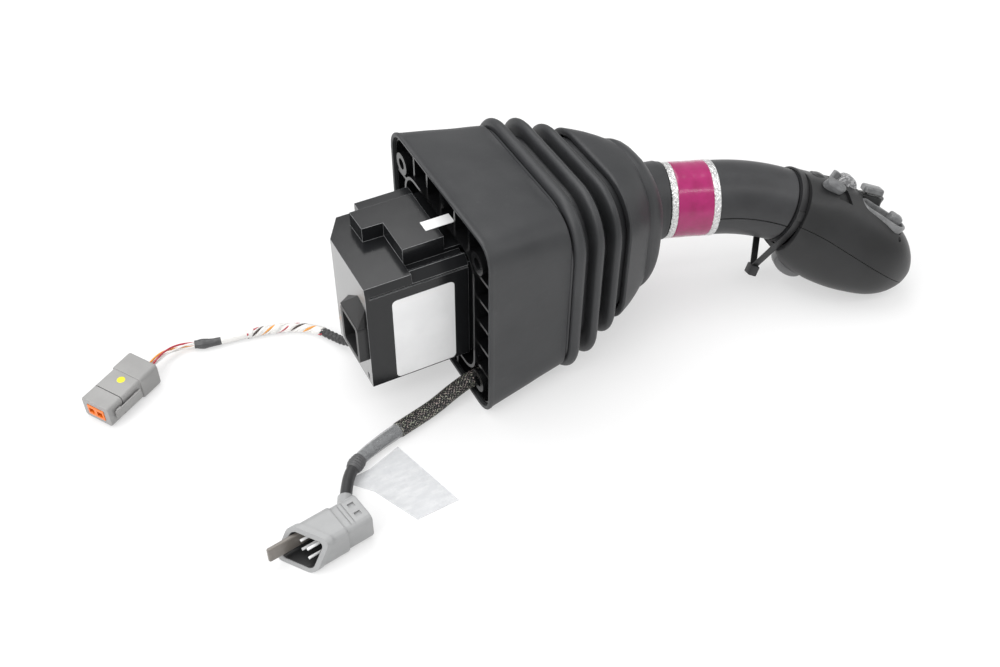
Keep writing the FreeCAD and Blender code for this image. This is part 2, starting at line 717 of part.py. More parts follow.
def head_shells():
    """Upper and lower shells of the head, cut off along the oblique neck plane."""
    whole = head_solid(0.0).cut(head_solid(HEAD_WALL))
    reach = 90.0
    behind = placed(box_between((-reach, -reach, -reach), (reach, reach, STRAP_WIDTH / 2 + SOFT_GAP)),
                    neck_plane_placement())
    whole = whole.cut(behind)
    below = below_parting()
    upper = whole.cut(below)
    lower = whole.common(below)
    posts = []
    for t, s, top in ((-2.0, 11.0, 27.5), (-2.0, -11.0, 27.5), (31.0, 7.0, 24.5)):
        posts.append(Part.makeCylinder(POST_RADIUS, top - BOARD_N - BOARD_THICKNESS,
                                       head_point(t, s, BOARD_N + BOARD_THICKNESS), HEAD_N))
    for side in (-1, 1):
        base = head_point(WHEEL_T, side * (WHEEL_WIDTH / 2 + BUTTON_GAP), WHEEL_N - 1.0)
        posts.append(Part.makeCylinder(WHEEL_PIN_RADIUS * 2, 3.0, base, HEAD_S * side))
    upper = fused([upper] + posts).cut(fused_cut(control_openings() + pin_cylinders()))
    pocket = placed(box_between((TRIGGER_T[0] - 7.0, -TRIGGER_HALF_WIDTH - BUTTON_GAP, -60),
                                (TRIGGER_T[1] + 1.5, TRIGGER_HALF_WIDTH + BUTTON_GAP, -20)), HEAD_FRAME)
    lower = lower.cut(pocket)
    ribs = []
    for side in (-1, 1):
        base = Vector(TRIGGER_PIN_T - 4.0, side * (TRIGGER_HALF_WIDTH + BUTTON_GAP + 1.5) - 1.5, -32.0)
        rib = box_between((base.x, base.y, base.z), (base.x + 8.0, base.y + 3.0, TRIGGER_PIN_N + 4.0))
        ribs.append(placed(rib, HEAD_FRAME))
    lower = fused([lower] + ribs).cut(fused_cut(pin_cylinders()))
    return upper, lower


def fused_cut(tools):
    """Several cutting tools as one."""
    return tools[0].multiFuse(tools[1:])


def grip_tubes():
    """Upper and lower halves of the grip tube."""
    tube = fused([swept(ring_face(TUBE_NECK_RADIUS, TUBE_BORE), TUBE_TAIL, BAND_START - SOFT_GAP),
                  swept(ring_face(TUBE_RADIUS, TUBE_BORE), BAND_START - SOFT_GAP, BEND_END - TUBE_OVERLAP)])
    below = below_parting()
    return tube.cut(below), tube.common(below)


def band_rings():
    """Coloured sleeve and the two bright strips at its ends."""
    end = BAND_START + BAND_LENGTH
    colour = swept(ring_face(TUBE_RADIUS + BAND_THICKNESS, TUBE_RADIUS),
                   BAND_START + TRIM_WIDTH, end - TRIM_WIDTH)
    trims = []
    for start in (BAND_START, end - TRIM_WIDTH):
        trims.append(swept(ring_face(TUBE_RADIUS + TRIM_THICKNESS, TUBE_RADIUS), start, start + TRIM_WIDTH))
    return colour, Part.makeCompound(trims)


def cone_solid(inset):
    """Boot cone, dome and neck as one skin surface, drawn in by a wall."""
    stations = [
        (CONE_REAR_X + SOFT_GAP, CONE_REAR_Y, CONE_REAR_Z, 30.0, 0.0),
        (CONE_RIM_X, CONE_RIM_Y, CONE_RIM_Z, 33.0, CONE_RIM_DROP),
        (CONE_RIM_X + 3.5, CONE_RIM_Y - 1.2, CONE_RIM_Z - 2.8, 33.0, CONE_RIM_DROP),
        (between(CONE_RIM_X, DOME_END_X, 0.62), between(CONE_RIM_Y, DOME_END_Y, 0.45),
         between(CONE_RIM_Z, DOME_END_Z, 0.45), 32.0, CONE_RIM_DROP / 2),
        (DOME_END_X, DOME_END_Y, DOME_END_Z, 28.0, 0.0),
    ]
    loops = []
    for x, half_y, half_z, corner, drop in stations:
        radius = min(corner, half_y - 0.5) - inset
        wire = rounded_wire(half_y - inset, half_z - inset, radius, 0, drop)
        loops.append(placed(wire, along_x(x)))
    neck = TUBE_NECK_RADIUS + SOFT_GAP + NECK_WALL
    neck_inset = NECK_WALL if inset else 0.0
    radius = neck - neck_inset
    for s in (3.2, BAND_START - 2 * SOFT_GAP):
        u = unit(AXIS_Z.cross(GRIP_DIR))
        frame = frame_at(GRIP_START + GRIP_DIR * s, u, GRIP_DIR.cross(u))
        loops.append(placed(rounded_wire(radius, radius, radius - 0.5), frame))
    return Part.makeLoft(loops, True, True)


def boot_cone():
    """Front of the boot, which moves with the grip."""
    return cone_solid(0.0).cut(cone_solid(RUBBER_WALL))


def shaft_parts():
    """Shaft with its hub, the cross pin, the magnet and the clamp in the grip tube."""
    shaft = Part.makeCylinder(SHAFT_RADIUS, SHAFT_END_X - PIVOT_X, Vector(PIVOT_X, 0, 0), AXIS_X)
    tail = Part.makeCylinder(TAIL_RADIUS, PIVOT_X - TAIL_END_X, Vector(TAIL_END_X, 0, 0), AXIS_X)
    hub = Part.makeSphere(HUB_RADIUS, Vector(PIVOT_X, 0, 0))
    low_z = -YOKE_OUTER + SEAT_GAP
    high_z = YOKE_PAD_END + SPRING_PITCH * (SPRING_TURNS + 1)
    pin = Part.makeCylinder(CROSS_PIN_RADIUS, high_z - low_z, Vector(PIVOT_X, 0, low_z), AXIS_Z)
    shaft = fused([shaft, tail, hub]).cut(pin)
    magnet = Part.makeCylinder(TAIL_RADIUS - 1, MAGNET_LENGTH, Vector(TAIL_END_X - MAGNET_LENGTH, 0, 0), AXIS_X)
    clamp = swept(Part.Face(Part.Wire(Part.makeCircle(TUBE_BORE))), TUBE_TAIL + 1, CLAMP_LENGTH)
    bore = Part.makeCylinder(SHAFT_RADIUS, 60, Vector(GRIP_START.x - 20, 0, 0), AXIS_X)
    return shaft, pin, magnet, clamp.cut(bore)


def yoke_ring():
    """Ring between the two pivot axes, with stub pins across and bores up and down."""
    start = PIVOT_X - YOKE_LENGTH / 2
    ring = Part.makeCylinder(YOKE_OUTER, YOKE_LENGTH, Vector(start, 0, 0), AXIS_X)
    pieces = [ring]
    for side in (-1, 1):
        pad_end = CHEEK_INNER_Y - 2 * SEAT_GAP
        pieces.append(Part.makeCylinder(YOKE_PAD_RADIUS, pad_end - 20, Vector(PIVOT_X, side * 20, 0),
                                        AXIS_Y * side))
        stub_end = CHEEK_INNER_Y + CHEEK_THICKNESS + SPRING_PITCH * (SPRING_TURNS + 1)
        pieces.append(Part.makeCylinder(STUB_RADIUS, stub_end - 20, Vector(PIVOT_X, side * 20, 0),
                                        AXIS_Y * side))
    pieces.append(Part.makeCylinder(YOKE_PAD_RADIUS, YOKE_PAD_END - 20, Vector(PIVOT_X, 0, 20), AXIS_Z))
    solid = fused(pieces)
    solid = solid.cut(Part.makeCylinder(YOKE_INNER, YOKE_LENGTH + 2, Vector(start - 1, 0, 0), AXIS_X))
    bore = Part.makeCylinder(CROSS_PIN_RADIUS + RUNNING, 80, Vector(PIVOT_X, 0, -40), AXIS_Z)
    return solid.cut(bore)


def gimbal_housing():
    """Base plate with two cheeks that carry the yoke's stub pins."""
    start = WEB_X + WEB_THICKNESS
    plate = placed(rounded_face(GIMBAL_HALF, GIMBAL_HALF, 6.0), along_x(start)).extrude(AXIS_X * GIMBAL_PLATE)
    pieces = [plate]
    for side in (-1, 1):
        low_y = CHEEK_INNER_Y if side > 0 else -CHEEK_INNER_Y - CHEEK_THICKNESS
        cheek = box_between((start, low_y, -CHEEK_HALF_Z), (PIVOT_X, low_y + CHEEK_THICKNESS, CHEEK_HALF_Z))
        cap = Part.makeCylinder(CHEEK_HALF_Z, CHEEK_THICKNESS, Vector(PIVOT_X, low_y, 0), AXIS_Y)
        pieces += [cheek, cap]
    solid = fused(pieces)
    cuts = [Part.makeCylinder(GIMBAL_HOLE_RADIUS, 40, Vector(start - 1, 0, 0), AXIS_X)]
    cuts.append(Part.makeCylinder(STUB_RADIUS + RUNNING + BUSH_WALL, 200, Vector(PIVOT_X, -100, 0), AXIS_Y))
    for y, z in gimbal_screw_places():
        cuts.append(Part.makeCylinder(SCREW_RADIUS, 40, Vector(start - 1, y, z), AXIS_X))
    return solid.cut(fused_cut(cuts))


def gimbal_screw_places():
    """The four screws that hold the gimbal on the web."""
    place = GIMBAL_HALF - 7.0
    return [(y, z) for y in (-place, place) for z in (-place, place)]


def yoke_bushes():
    """Plain bushes in the cheeks."""
    solids = []
    for side in (-1, 1):
        start = Vector(PIVOT_X, side * CHEEK_INNER_Y, 0)
        bush = Part.makeCylinder(STUB_RADIUS + RUNNING + BUSH_WALL, CHEEK_THICKNESS, start, AXIS_Y * side)
        bore = Part.makeCylinder(STUB_RADIUS + RUNNING, CHEEK_THICKNESS, start, AXIS_Y * side)
        solids.append(bush.cut(bore))
    return Part.makeCompound(solids)


def coil_spring(base, direction, pin_radius):
    """Torsion spring wound round a pin, standing on the face at base."""
    coil_radius = pin_radius + SPRING_WIRE + SPRING_PLAY
    sections = []
    for step in range(SPRING_TURNS * SPRING_STEPS + 1):
        turn = 2 * math.pi * step / SPRING_STEPS
        outward = Vector(math.cos(turn), math.sin(turn), 0)
        centre = outward * coil_radius + AXIS_Z * (SPRING_PITCH * step / SPRING_STEPS)
        corners = []
        for side in range(SPRING_SIDES):
            angle = 2 * math.pi * side / SPRING_SIDES
            corners.append(centre + outward * (SPRING_WIRE * math.cos(angle))
                           + AXIS_Z * (SPRING_WIRE * math.sin(angle)))
        sections.append(Part.makePolygon(corners + corners[:1]))
    solid = Part.makeLoft(sections, True, True)
    solid.translate(Vector(0, 0, SPRING_WIRE + SEAT_GAP))
    turn = FreeCAD.Rotation(AXIS_Z, direction)
    return placed(solid, FreeCAD.Placement(base, turn))


def housing_screws():
    """Cap screws through the gimbal plate into the web."""
    start = WEB_X + 0.5
    seat = WEB_X + WEB_THICKNESS + GIMBAL_PLATE
    solids = []
    for y, z in gimbal_screw_places():
        shank = Part.makeCylinder(SCREW_RADIUS, seat - start, Vector(start, y, z), AXIS_X)
        head = Part.makeCylinder(SCREW_HEAD_RADIUS, SCREW_HEAD_HEIGHT, Vector(seat, y, z), AXIS_X)
        socket = Part.makeCylinder(1.6, 1.6, Vector(seat + SCREW_HEAD_HEIGHT - 1.6, y, z), AXIS_X)
        solids.append(fused([shank, head]).cut(socket))
    return Part.makeCompound(solids)


def grommet_place():
    """Where the braided harness leaves the web."""
    return BRAID_ROUTE[0][1], BRAID_ROUTE[0][2]


def mount_frame():
    """Moulded panel frame: inner well, outer band, ribs, four screw bosses and the web."""
    start = FRAME_FACE_X + BAND_RECESS
    front = WEB_X + WEB_THICKNESS
    outer = []
    inner = []
    for x in (start, front):
        half_y, half_z, corner = skirt_half(x)
        off = RUBBER_WALL + SEAT_GAP
        outer.append(placed(rounded_wire(half_y - off, half_z - off, corner - off), along_x(x)))
        off += BAND_WALL
        inner.append(placed(rounded_wire(half_y - off, half_z - off, corner - off), along_x(x)))
    envelope = Part.makeLoft(outer, True, True)
    band = envelope.cut(Part.makeLoft(inner, True, True))
    well_out = FRAME_INNER + FRAME_WALL
    well = placed(rounded_face(well_out, well_out, FRAME_INNER_CORNER + FRAME_WALL),
                  along_x(FRAME_FACE_X)).extrude(AXIS_X * front)
    well_in = placed(rounded_face(FRAME_INNER, FRAME_INNER, FRAME_INNER_CORNER),
                     along_x(FRAME_FACE_X)).extrude(AXIS_X * front)
    web = envelope.common(box_between((WEB_X, -80, -80), (front, 80, 80)))
    pieces = [band, well, web]
    reach = SKIRT_REAR_Y
    for index in range(RIBS_EACH_SIDE):
        place = (index - (RIBS_EACH_SIDE - 1) / 2) * RIB_PITCH
        half = RIB_THICKNESS / 2
        for side in (-1, 1):
            low, high = sorted((side * FRAME_INNER, side * reach))
            rib = box_between((start, low, place - half), (front, high, place + half))
            pieces.append(rib.common(envelope))
            rib = box_between((start, place - half, low), (front, place + half, high))
            pieces.append(rib.common(envelope))
    for y, z in boss_places():
        pieces.append(Part.makeCylinder(BOSS_RADIUS, front - FRAME_FACE_X, Vector(FRAME_FACE_X, y, z), AXIS_X))
    solid = fused(pieces)
    cuts = [well_in.common(box_between((-5, -80, -80), (WEB_X, 80, 80)))]
    for y, z in boss_places():
        cuts.append(Part.makeCylinder(SCREW_HOLE_RADIUS, 40, Vector(FRAME_FACE_X - 1, y, z), AXIS_X))
    for y, z in gimbal_screw_places():
        cuts.append(Part.makeCylinder(SCREW_RADIUS, front - WEB_X - 0.5, Vector(WEB_X + 0.5, y, z), AXIS_X))
    y, z = grommet_place()
    cuts.append(Part.makeCylinder(GROMMET_RADIUS, 30, Vector(0.0, y, z), AXIS_X))
    hole = SENSOR_HALF + SEAT_GAP
    cuts.append(box_between((front - BOARD_THICKNESS - SEAT_GAP, -hole, -hole), (front, hole, hole)))
    cuts.append(Part.makeCylinder(SENSOR_HALF - 3, 20, Vector(WEB_X - 1, 0, 0), AXIS_X))
    return solid.cut(fused_cut(cuts))


def boss_places():
    """The four screw bosses of the panel frame."""
    return [(y, z) for y in (-BOSS_Y, BOSS_Y) for z in (-BOSS_Z, BOSS_Z)]


def grommet():
    """Rubber grommet that the braided harness leaves through."""
    y, z = grommet_place()
    start = BRAID_ROUTE[0][0]
    body = Part.makeCylinder(GROMMET_RADIUS, WEB_X + WEB_THICKNESS - start, Vector(start, y, z), AXIS_X)
    return body.makeFillet(1.5, [e for e in body.Edges if e.BoundBox.XMax < start + 0.001])


def box_outline(inset, front):
    """Outline of the box seen from above, with its far rear corner cut off."""
    rear = BOX_REAR_X + inset
    side = BOX_HALF_Y - inset
    cut_x = BOX_REAR_X + CORNER_CUT_X + inset * 0.4
    cut_y = BOX_HALF_Y - CORNER_CUT_Y - inset * 0.4
    points = [(rear, -side), (front, -side), (front, side), (cut_x, side), (rear, cut_y), (rear, -side)]
    return [Vector(x, y, 0) for x, y in points]


def raised(points, low, high):
    """Prism on a closed outline between two heights."""
    face = Part.Face(Part.makePolygon(points))
    face.translate(Vector(0, 0, low))
    return face.extrude(Vector(0, 0, high - low))


def plateau_outline(inset):
    """Raised L-shaped area on top of the box."""
    points = [(-45.0 + inset, 23.0 - inset), (-44.5 + inset, 6.0 + inset), (-31.5 + inset, 5.5 + inset),
              (-31.4 + inset, -21.0 + inset), (PLATEAU_FRONT_X - inset, -20.6 + inset),
              (PLATEAU_FRONT_X - inset, 23.0 - inset), (-45.0 + inset, 23.0 - inset)]
    return [Vector(x, y, 0) for x, y in points]


def box_housing():
    """Moulded electronics box, closed by the rear cover and seated on the web."""
    split = BOX_REAR_X + COVER_THICKNESS
    body = raised(box_outline(0.0, WEB_X), BOX_BOTTOM_Z, BOX_TOP_Z)
    long_edges = [e for e in body.Edges if abs(e.BoundBox.XLength) > 60]
    body = body.makeFillet(BOX_ROUND, long_edges)
    plateau = raised(plateau_outline(0.0), BOX_TOP_Z - 1, PLATEAU_TOP_Z)
    rim = [e for e in plateau.Edges if e.BoundBox.ZMin > PLATEAU_TOP_Z - 0.01]
    plateau = plateau.makeFillet(PLATEAU_ROUND, rim)
    block = box_between((-37.0, 22.0, BOX_TOP_Z - 4), (PLATEAU_FRONT_X, BOX_HALF_Y - 0.5, REAR_BLOCK_TOP_Z))
    body = fused([body, plateau, block])
    hollow = raised(box_outline(BOX_WALL, WEB_X - BOX_WALL), BOX_BOTTOM_Z + BOX_WALL, BOX_TOP_Z - BOX_WALL)
    pocket = raised(plateau_outline(BOX_WALL), BOX_TOP_Z - BOX_WALL - 1, PLATEAU_TOP_Z - BOX_WALL)
    rear = box_between((BOX_REAR_X - 1, -60, -60), (split, 60, 60))
    cuts = [hollow, pocket, rear]
    cuts.append(box_between((split, -BOX_HALF_Y + 8, BOX_TOP_Z - GROOVE_DEPTH),
                            (PLATEAU_FRONT_X, -BOX_HALF_Y + 8 + GROOVE_WIDTH, BOX_TOP_Z + 1)))
    cuts.append(box_between((split, -BOX_HALF_Y - 1, BOX_TOP_Z - 8), (WEB_X - 4, -BOX_HALF_Y + GROOVE_DEPTH,
                                                                     BOX_TOP_Z - 8 + GROOVE_WIDTH)))
    cuts.append(box_between((LABEL_X[0], -BOX_HALF_Y - 1, LABEL_Z[0]),
                            (LABEL_X[1], -BOX_HALF_Y + LABEL_THICKNESS / 2, LABEL_Z[1])))
    x, y = THIN_ROUTE[0][0], THIN_ROUTE[0][1]
    cuts.append(Part.makeCylinder(THIN_GLAND_RADIUS - 1.5, 10, Vector(x, y, BOX_BOTTOM_Z - 1), AXIS_Z))
    body = body.cut(fused_cut(cuts))
    bosses = []
    for y, z in cover_screw_places():
        bosses.append(Part.makeCylinder(COVER_BOSS_RADIUS, COVER_BOSS_LENGTH, Vector(split, y, z), AXIS_X))
    body = fused([body] + bosses)
    holes = [Part.makeCylinder(SCREW_RADIUS, COVER_BOSS_LENGTH, Vector(split - 1, y, z), AXIS_X)
             for y, z in cover_screw_places()]
    return body.cut(fused_cut(holes))


def cover_screw_places():
    """Screws of the rear cover, near its corners."""
    off = BOX_WALL + COVER_BOSS_RADIUS - COVER_BOSS_BITE
    return [(y, z) for y in (-BOX_HALF_Y + off, COVER_SCREW_FAR_Y)
            for z in (BOX_TOP_Z - off, BOX_BOTTOM_Z + off)]


def rear_cover():
    """End cover of the box, with the socket's opening and a sloping roof above it."""
    body = raised(box_outline(0.0, WEB_X), BOX_BOTTOM_Z, BOX_TOP_Z)
    long_edges = [e for e in body.Edges if abs(e.BoundBox.XLength) > 60]
    body = body.makeFillet(BOX_ROUND, long_edges)
    cover = body.common(box_between((BOX_REAR_X - 1, -60, -60), (BOX_REAR_X + COVER_THICKNESS, 60, 60)))
    roof_top = 28.0
    low_z = SOCKET_MID_Z + SOCKET_HALF_Z
    roof = Part.makePolygon([Vector(BOX_REAR_X, 0, roof_top), Vector(BOX_REAR_X, 0, low_z + 0.5),
                             Vector(BOX_REAR_X - SOCKET_REACH, 0, low_z + 0.5),
                             Vector(BOX_REAR_X, 0, roof_top)])
    roof = Part.Face(roof).extrude(Vector(0, 2 * SOCKET_HALF_Y, 0))
    roof.translate(Vector(0, SOCKET_MID_Y - SOCKET_HALF_Y, 0))
    cover = fused([cover, roof])
    cuts = [placed(rounded_face(SOCKET_HALF_Y, SOCKET_HALF_Z, SOCKET_CORNER, SOCKET_MID_Y, SOCKET_MID_Z),
                   along_x(BOX_REAR_X - SOCKET_REACH - 1)).extrude(AXIS_X * 20)]
    for y, z in cover_screw_places():
        cuts.append(Part.makeCylinder(SCREW_RADIUS, 10, Vector(BOX_REAR_X - 1, y, z), AXIS_X))
        cuts.append(Part.makeCylinder(SCREW_HEAD_RADIUS, 1.5 + 1, Vector(BOX_REAR_X - 1, y, z), AXIS_X))
    return cover.cut(fused_cut(cuts))


def cover_screws():
    """Screws of the rear cover, sunk in it."""
    solids = []
    for y, z in cover_screw_places():
        head = Part.makeCylinder(SCREW_HEAD_RADIUS - 0.2, 1.4, Vector(BOX_REAR_X + 0.1, y, z), AXIS_X)
        shank = Part.makeCylinder(SCREW_RADIUS, 11.5, Vector(BOX_REAR_X + 1.5, y, z), AXIS_X)
        slot = box_between((BOX_REAR_X, y - 2.5, z - 0.4), (BOX_REAR_X + 0.8, y + 2.5, z + 0.4))
        solids.append(fused([head, shank]).cut(slot))
    return Part.makeCompound(solids)


def header_shroud():
    """Socket shroud with its floor."""
    start = BOX_REAR_X - SOCKET_REACH
    depth = SOCKET_REACH + SOCKET_DEPTH
    outer = placed(rounded_face(SOCKET_HALF_Y, SOCKET_HALF_Z, SOCKET_CORNER, SOCKET_MID_Y, SOCKET_MID_Z),
                   along_x(start)).extrude(AXIS_X * depth)
    hollow = placed(rounded_face(SOCKET_HALF_Y - SOCKET_WALL, SOCKET_HALF_Z - SOCKET_WALL, 1.5,
                                 SOCKET_MID_Y, SOCKET_MID_Z),
                    along_x(start - 1)).extrude(AXIS_X * (1 + depth - SOCKET_WALL))
    shroud = outer.cut(hollow)
    return shroud.cut(fused_cut([Part.makeCylinder(PIN_RADIUS, 60, Vector(start - 1, y, z), AXIS_X)
                                 for y, z in pin_places()]))


def pin_places():
    """Pin grid of the socket."""
    places = []
    for column in range(PIN_COLUMNS):
        for row in range(PIN_ROWS):
            y = SOCKET_MID_Y + (column - (PIN_COLUMNS - 1) / 2) * PIN_PITCH
            z = SOCKET_MID_Z + (row - (PIN_ROWS - 1) / 2) * PIN_PITCH * 2
            places.append((y, z))
    return places


def header_pins():
    """Contact pins through the shroud's floor."""
    floor = BOX_REAR_X + SOCKET_DEPTH - SOCKET_WALL
    solids = [Part.makeCylinder(PIN_RADIUS, PIN_REACH + SOCKET_WALL + 4,
                                Vector(floor - PIN_REACH, y, z), AXIS_X) for y, z in pin_places()]
    return Part.makeCompound(solids)


def blank_labels():
    """Blank plate on the box's side and the strip that bridges the box and the frame."""
    side = rounded_face((LABEL_X[1] - LABEL_X[0]) / 2, (LABEL_Z[1] - LABEL_Z[0]) / 2, 3.0)
    middle = Vector((LABEL_X[0] + LABEL_X[1]) / 2, -BOX_HALF_Y + LABEL_THICKNESS / 2,
                    (LABEL_Z[0] + LABEL_Z[1]) / 2)
    plate = placed(side, frame_at(middle, AXIS_X, AXIS_Z)).extrude(AXIS_Y * -LABEL_THICKNESS)
    strip = box_between((STRIP_X[0], STRIP_Y[0], PLATEAU_TOP_Z),
                        (STRIP_X[1], STRIP_Y[1], PLATEAU_TOP_Z + STRIP_THICKNESS))
    return Part.makeCompound([plate, strip])


def circuit_board():
    """Main board, standing in the box behind the socket."""
    board_x = BOX_REAR_X + SOCKET_DEPTH + 1.0
    board = box_between((board_x, -BOX_HALF_Y + BOX_WALL + SEAT_GAP, BOX_BOTTOM_Z + BOX_WALL + SEAT_GAP),
                        (board_x + BOARD_THICKNESS, BOX_HALF_Y - BOX_WALL - SEAT_GAP,
                         BOX_TOP_Z - BOX_WALL - SEAT_GAP))
    holes = [Part.makeCylinder(PIN_RADIUS, 10, Vector(board_x - 2, y, z), AXIS_X) for y, z in pin_places()]
    return board.cut(fused_cut(holes))


def board_chips():
    """Large components on the main board."""
    face = BOX_REAR_X + SOCKET_DEPTH + 1.0 + BOARD_THICKNESS
    places = ((12.0, 14.0, 14.0, 14.0, 2.4), (14.0, -12.0, 9.0, 6.0, 2.0), (-18.0, 22.0, 8.0, 8.0, 9.0),
              (-6.0, -28.0, 6.0, 10.0, 5.0))
    solids = []
    for y, z, width, height, depth in places:
        solids.append(box_between((face, y - width / 2, z - height / 2),
                                  (face + depth, y + width / 2, z + height / 2)))
    return Part.makeCompound(solids)


def sensor_board():
    """Small board behind the shaft's magnet."""
    front = WEB_X + WEB_THICKNESS
    board = box_between((front - BOARD_THICKNESS, -SENSOR_HALF, -SENSOR_HALF), (front, SENSOR_HALF, SENSOR_HALF))
    chip = box_between((front, -4, -4), (front + 1.6, 4, 4))
    return fused([board, chip])


def thin_gland():
    """Gland under the box for the thin harness."""
    x, y, z = THIN_ROUTE[0]
    body = Part.makeCylinder(THIN_GLAND_RADIUS, BOX_BOTTOM_Z - z, Vector(x, y, z), AXIS_Z)
    stub = Part.makeCylinder(THIN_GLAND_RADIUS - 1.5, BOX_WALL, Vector(x, y, BOX_BOTTOM_Z), AXIS_Z)
    return fused([body, stub])


def route_edges(points):
    """Straight runs joined by tangent arcs, each as large as its two runs allow."""
    corners = [Vector(*p) for p in points]
    edges = []
    last = corners[0]
    for index in range(1, len(corners) - 1):
        corner = corners[index]
        before = corner - corners[index - 1]
        after = corners[index + 1] - corner
        turn = before.getAngle(after)
        cut = 0.45 * min(before.Length, after.Length)
        radius = cut / math.tan(turn / 2)
        route_edges.radii.append(radius)
        start = corner - unit(before) * cut
        end = corner + unit(after) * cut
        inward = unit(unit(after) - unit(before))
        middle = corner + inward * (radius / math.cos(turn / 2) - radius)
        edges.append(Part.LineSegment(last, start).toShape())
        edges.append(Part.Arc(start, middle, end).toShape())
        last = end
    edges.append(Part.LineSegment(last, corners[-1]).toShape())
    return edges


route_edges.radii = []


def stretch(edges, start, end):
    """The part of a route between two lengths along it."""
    kept = []
    done = 0.0
    for edge in edges:
        low = max(start - done, 0.0)
        high = min(end - done, edge.Length)
        if high - low > 0.01:
            first = edge.getParameterByLength(low)
            last = edge.getParameterByLength(high)
            kept.append(edge.Curve.toShape(first, last))
        done += edge.Length
    return Part.Wire(kept)


def route_length(edges):
    """Length of a whole route."""
    return sum(edge.Length for edge in edges)


def cord_tube(edges, start, end, diameter, end_diameter=None):
    """Round tube on a stretch of a route, tapered where a second diameter is given."""
    path = stretch(edges, start, end)
    begin = path.Edges[0].valueAt(path.Edges[0].FirstParameter)
    way = path.Edges[0].tangentAt(path.Edges[0].FirstParameter)
    profiles = [Part.Wire(Part.makeCircle(diameter / 2, begin, way))]
    if end_diameter:
        final = path.Edges[-1]
        profiles.append(Part.Wire(Part.makeCircle(end_diameter / 2, final.valueAt(final.LastParameter),
                                                  final.tangentAt(final.LastParameter))))
    tube = path.makePipeShell(profiles, True, False)
    last = end_diameter or diameter
    expected = math.pi * (diameter ** 2 + diameter * last + last ** 2) / 12 * path.Length
    print("tube volume %.0f, section times length %.0f" % (tube.Volume, expected))
    return tube


def plug_frame(rear, turn):
    """Local frame at the rear of a connector: along its axis, across and up."""
    angle = math.radians(turn)
    along = Vector(math.cos(angle), math.sin(angle), 0)
    return frame_at(rear, along, AXIS_Z.cross(along))


def along_plug(face_half_u, face_half_v, corner, start, length):
    """Rounded bar along a connector's axis, in its local frame."""
    frame = frame_at(Vector(start, 0, 0), AXIS_Y, AXIS_Z)
    return placed(rounded_face(face_half_u, face_half_v, corner), frame).extrude(AXIS_X * length)


def receptacle_parts():
    """Receptacle shell with its side spout, the wedge tongue inside and its pins."""
    frame = plug_frame(RECEPTACLE_REAR, RECEPTACLE_TURN)
    half_w = RECEPTACLE_HALF_WIDTH
    half_h = RECEPTACLE_HALF_HEIGHT
    front = along_plug(half_w, half_h, RECEPTACLE_CORNER, RECEPTACLE_WAIST, RECEPTACLE_LENGTH - RECEPTACLE_WAIST)
    rear = along_plug(half_w - 1.0, half_h - 1.0, RECEPTACLE_CORNER - 1, 0.0, RECEPTACLE_WAIST)
    cavity_start = RECEPTACLE_LENGTH - RECEPTACLE_CAVITY
    cavity = along_plug(half_w - RECEPTACLE_WALL, half_h - RECEPTACLE_WALL, RECEPTACLE_CORNER - 2,
                        cavity_start, RECEPTACLE_CAVITY + 1)
    shell = placed(fused([front, rear]), frame)
    tip = Vector(*BRAID_ROUTE[-1])
    way = unit(tip - Vector(*BRAID_ROUTE[-2]))
    spout = Part.makeCylinder(SHEATH_DIAMETER / 2 + 1.2, 14.0, tip, way)
    shell = fused([shell, spout]).cut(placed(cavity, frame))
    reach = half_h - RECEPTACLE_CORNER
    wedge = box_between((cavity_start, -half_w + RECEPTACLE_WALL, -reach),
                        (RECEPTACLE_LENGTH + RECEPTACLE_TONGUE, -half_w + RECEPTACLE_WALL + 2.4, reach))
    wedge = placed(wedge, frame)
    pins = []
    for y in (-3.0, 4.0):
        for z in (-4.0, 4.0):
            pins.append(placed(Part.makeCylinder(0.8, 14.0, Vector(cavity_start, y, z), AXIS_X), frame))
    return shell, wedge, Part.makeCompound(pins)


def plug_parts():
    """Plug body, its coloured wedge in the face and the latch on its near side."""
    frame = plug_frame(PLUG_REAR, PLUG_TURN)
    rear_length = 19.0
    rear = along_plug(PLUG_HALF_WIDTH, PLUG_HALF_HEIGHT, PLUG_CORNER, 0.0, rear_length)
    nose = along_plug(PLUG_HALF_WIDTH - 1.6, PLUG_HALF_HEIGHT - 1.6, PLUG_CORNER - 1, rear_length,
                      PLUG_LENGTH - rear_length)
    body = fused([rear, nose])
    slot = box_between((PLUG_LENGTH - 9.0, -6.0, -3.5), (PLUG_LENGTH + 1, 6.0, 3.5))
    body = placed(body.cut(slot), frame)
    wedge = box_between((PLUG_LENGTH - 9.0, -6.0, -3.5), (PLUG_LENGTH + 0.8, 6.0, 3.5))
    wedge = placed(wedge, frame)
    near = PLUG_HALF_WIDTH - 1.6
    latch = box_between((rear_length, near, -3.0), (PLUG_LENGTH - 4.0, near + 1.8, 3.0))
    return body, wedge, placed(latch, frame)


def tag_flag():
    """Flat clear tag lying under the braided harness."""
    points = [Vector(x, y, FLOOR_Z) for x, y in TAG_POINTS]
    face = Part.Face(Part.makePolygon(points + points[:1]))
    return face.extrude(Vector(0, 0, TAG_THICKNESS))


